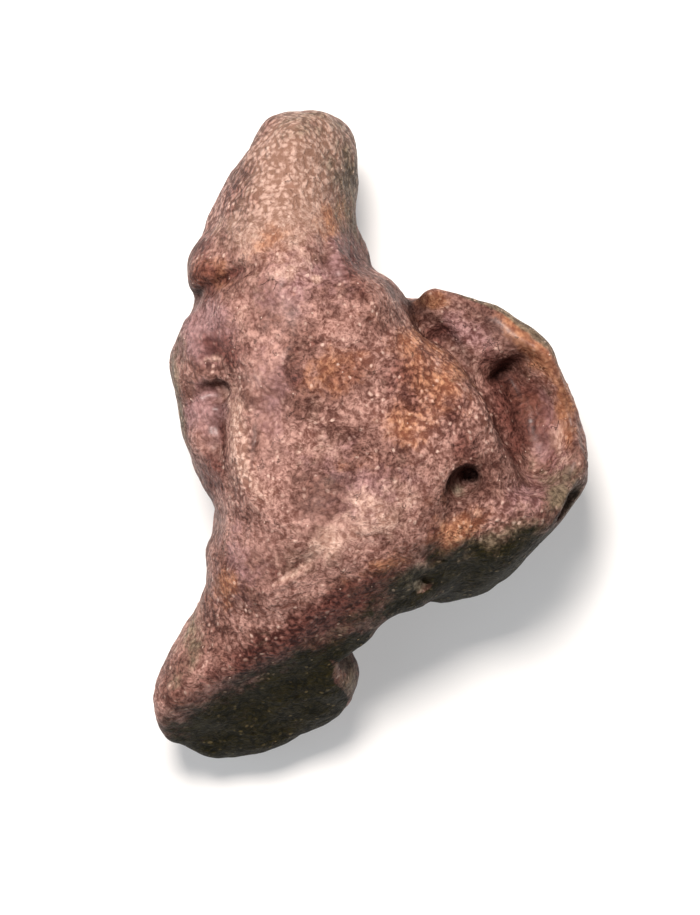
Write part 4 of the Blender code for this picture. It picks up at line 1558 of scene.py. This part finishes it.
# ---- The bone ----
@dataclass
class FossilEarBone:
    """The one piece: the bone with its skin, stains and crumbs."""

    name: str = "fossil_ear_bone"
    shape: BoneShape = field(default_factory=BoneShape)
    mesher: SurfaceNet = field(default_factory=SurfaceNet)
    relief: SkinRelief = field(default_factory=SkinRelief)
    finish: PetrifiedBone = field(default_factory=PetrifiedBone)
    stains: dict[Stain, tuple[Patch | Streak, ...]] = field(default_factory=STAINS.copy)
    hollow_reach_mm: tuple[float, ...] = (0.3, 0.8, 1.6, 3.0)
    hollow_share: tuple[float, ...] = (0.3, 0.3, 0.25, 0.15)
    slope_span_mm: float = 0.05
    snout_from: float = 12.4  # the y at which the coarse grains set in, where x is 0
    snout_slant: float = 0.34
    snout_blend: float = 1.6

    def masks(self, points: np.ndarray) -> dict[str, np.ndarray]:
        """Works out the masks that the finish reads.

        Args:
            points: the points of the mesh, in millimetres.

        Returns:
            One value from 0 to 1 for each point and mask.
        """
        p = points.astype(np.float32)
        g = self.mesher.slope(self.shape.distance, p, self.slope_span_mm)
        g = g / np.maximum(np.linalg.norm(g, axis=1, keepdims=True), TINY)
        # how enclosed each point is; the finish paints shade into the enclosed points
        cavity = np.zeros(len(p), np.float32)
        for reach, share in zip(self.hollow_reach_mm, self.hollow_share):
            d = self.shape.distance(p + g * reach)
            cavity += share * np.clip((reach - d) / reach, 0, 1)
        along = p[:, 1] - self.snout_from - self.snout_slant * p[:, 0]
        out = {"cavity": cavity, "grain": np.clip(along / self.snout_blend, 0, 1)}
        for stain, patches in self.stains.items():
            cover = np.zeros(len(p))
            for patch in patches:
                cover = np.maximum(cover, patch.cover(p, g))
            out[stain.value] = np.minimum(cover, 1)
        return out

    def mesh(self) -> bpy.types.Object:
        """Builds the piece, fits it to the solid that it stands for and gives it its finish.

        Returns:
            The finished object, at the origin.
        """
        points, quads = self.mesher.build(self.shape.distance)
        LOG.info("%s: %d points, %d quads", self.name, len(points), len(quads))
        low, high = points.min(0), points.max(0)
        target_low, target_high = (np.array(corner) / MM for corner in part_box(NODE))
        scale = (target_high[1] - target_low[1]) / (high[1] - low[1])
        placed = points.copy()
        placed[:, :2] -= (low[:2] + high[:2]) / 2
        placed *= scale
        smooth = bpy.data.meshes.new(self.name)
        smooth.from_pydata((placed * MM).tolist(), [], quads.tolist())
        smooth.validate()
        for name, values in self.masks(points).items():
            held = smooth.attributes.new(name, "FLOAT", "POINT")
            held.data.foreach_set("value", values.astype(np.float32))
        rough = bpy.data.objects.new("smooth_bone", smooth)
        bpy.context.scene.collection.objects.link(rough)
        mesh = self.relief.applied(rough, self.finish.material())
        bpy.data.objects.remove(rough, do_unlink=True)
        self.fit(mesh)
        mesh.name = self.name
        bone = bpy.data.objects.new(self.name, mesh)
        bpy.context.scene.collection.objects.link(bone)
        return bone

    def fit(self, mesh: bpy.types.Mesh) -> None:
        """Brings the roughened mesh exactly into the box of the solid, resting flat at its base.

        Args:
            mesh: the mesh, changed in place.
        """
        co = np.empty(len(mesh.vertices) * 3)
        mesh.vertices.foreach_get("co", co)
        co = co.reshape(-1, 3)
        target_low, target_high = (np.array(corner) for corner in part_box(NODE))
        co[:, 2] = np.maximum(co[:, 2], 0.0)
        low, high = co.min(0), co.max(0)
        co = target_low + (co - low) * (target_high - target_low) / (high - low)
        mesh.vertices.foreach_set("co", co.reshape(-1))
        mesh.update()

    def dress(self) -> bpy.types.Object:
        """Makes the piece and puts it in place of its solid.

        Returns:
            The finished object.
        """
        bone = self.mesh()
        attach(bone, BODY)
        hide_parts(NODE)
        triangles = sum(len(face.vertices) - 2 for face in bone.data.polygons)
        LOG.info("%s: %d triangles", self.name, triangles)
        return bone


# ---- Studio ----
@dataclass(frozen=True)
class SoftBox:
    """One square area light."""

    name: str
    place: Point3
    size: float
    watts: float
    tint: str

    def hang(self) -> None:
        """Adds the light, aimed at the bone."""
        lamp = bpy.data.lights.new(self.name, "AREA")
        lamp.size = self.size
        lamp.energy = self.watts
        lamp.color = srgb(self.tint)[:3]
        obj = bpy.data.objects.new(self.name, lamp)
        obj.location = self.place
        obj.rotation_euler = (-Vector(self.place)).to_track_quat("-Z", "Y").to_euler()
        bpy.context.scene.collection.objects.link(obj)


@dataclass(frozen=True)
class Studio:
    """A softly lit opal sheet, light from above the front end of the bone, and a camera overhead."""

    sheet: str = "#c9c9c7"
    sheet_half: float = 0.6
    sheet_rough: float = 0.9
    sheet_glow: float = 0.34
    sheet_drop: float = 0.00005  # how far below the bone the sheet lies
    sky: str = "#e9edf2"
    sky_strength: float = 0.18
    camera_place: Point3 = (-0.00112, -0.00122, 0.50)
    lens_mm: float = 233.8
    sensor_mm: float = 24.0
    lights: tuple[SoftBox, ...] = (
        SoftBox("key_light", (-0.06, 0.19, 0.41), 0.14, 3.9, "#fff6f0"),
        SoftBox("fill_light", (-0.28, -0.05, 0.32), 0.30, 0.3, "#f2f4ff"),
    )

    def floor(self) -> None:
        """Lays the opal sheet that the bone lies on."""
        h = self.sheet_half
        mesh = bpy.data.meshes.new("opal_floor")
        mesh.from_pydata([(-h, -h, 0), (h, -h, 0), (h, h, 0), (-h, h, 0)], [], [(0, 1, 2, 3)])
        floor = bpy.data.objects.new("opal_floor", mesh)
        bpy.context.scene.collection.objects.link(floor)
        floor.location.z = -self.sheet_drop
        matt = bpy.data.materials.new("opal_acrylic")
        matt.use_nodes = True
        shader = matt.node_tree.nodes["Principled BSDF"]
        shader.inputs["Base Color"].default_value = srgb(self.sheet)
        shader.inputs["Roughness"].default_value = self.sheet_rough
        shader.inputs["Emission Color"].default_value = srgb("#ffffff")
        shader.inputs["Emission Strength"].default_value = self.sheet_glow
        mesh.materials.append(matt)

    def light(self) -> None:
        """Hangs the lights and sets the dim, even light all round."""
        for lamp in self.lights:
            lamp.hang()
        world = bpy.data.worlds.new("soft_room")
        world.use_nodes = True
        background = world.node_tree.nodes["Background"]
        background.inputs["Color"].default_value = srgb(self.sky)
        background.inputs["Strength"].default_value = self.sky_strength
        bpy.context.scene.world = world
        bpy.context.scene.view_settings.view_transform = "Standard"

    def camera(self) -> None:
        """Sets the camera straight above the bone, with the snout at the top of the picture."""
        data = bpy.data.cameras.new("overhead_camera")
        data.sensor_fit = "VERTICAL"
        data.sensor_height = self.sensor_mm
        data.lens = self.lens_mm
        data.clip_start = 0.01
        camera = bpy.data.objects.new("overhead_camera", data)
        camera.matrix_world = Matrix.Translation(self.camera_place)
        bpy.context.scene.collection.objects.link(camera)
        bpy.context.scene.camera = camera

    def build(self) -> None:
        """Sets up the whole studio."""
        self.camera()
        self.floor()
        self.light()


def main() -> None:
    logging.basicConfig(level=logging.INFO, format="%(name)s %(message)s")
    Studio().build()
    LOG.info("studio: set")
    FossilEarBone().dress()
    LOG.info("bone: dressed")


if __name__ == "__main__":
    main()
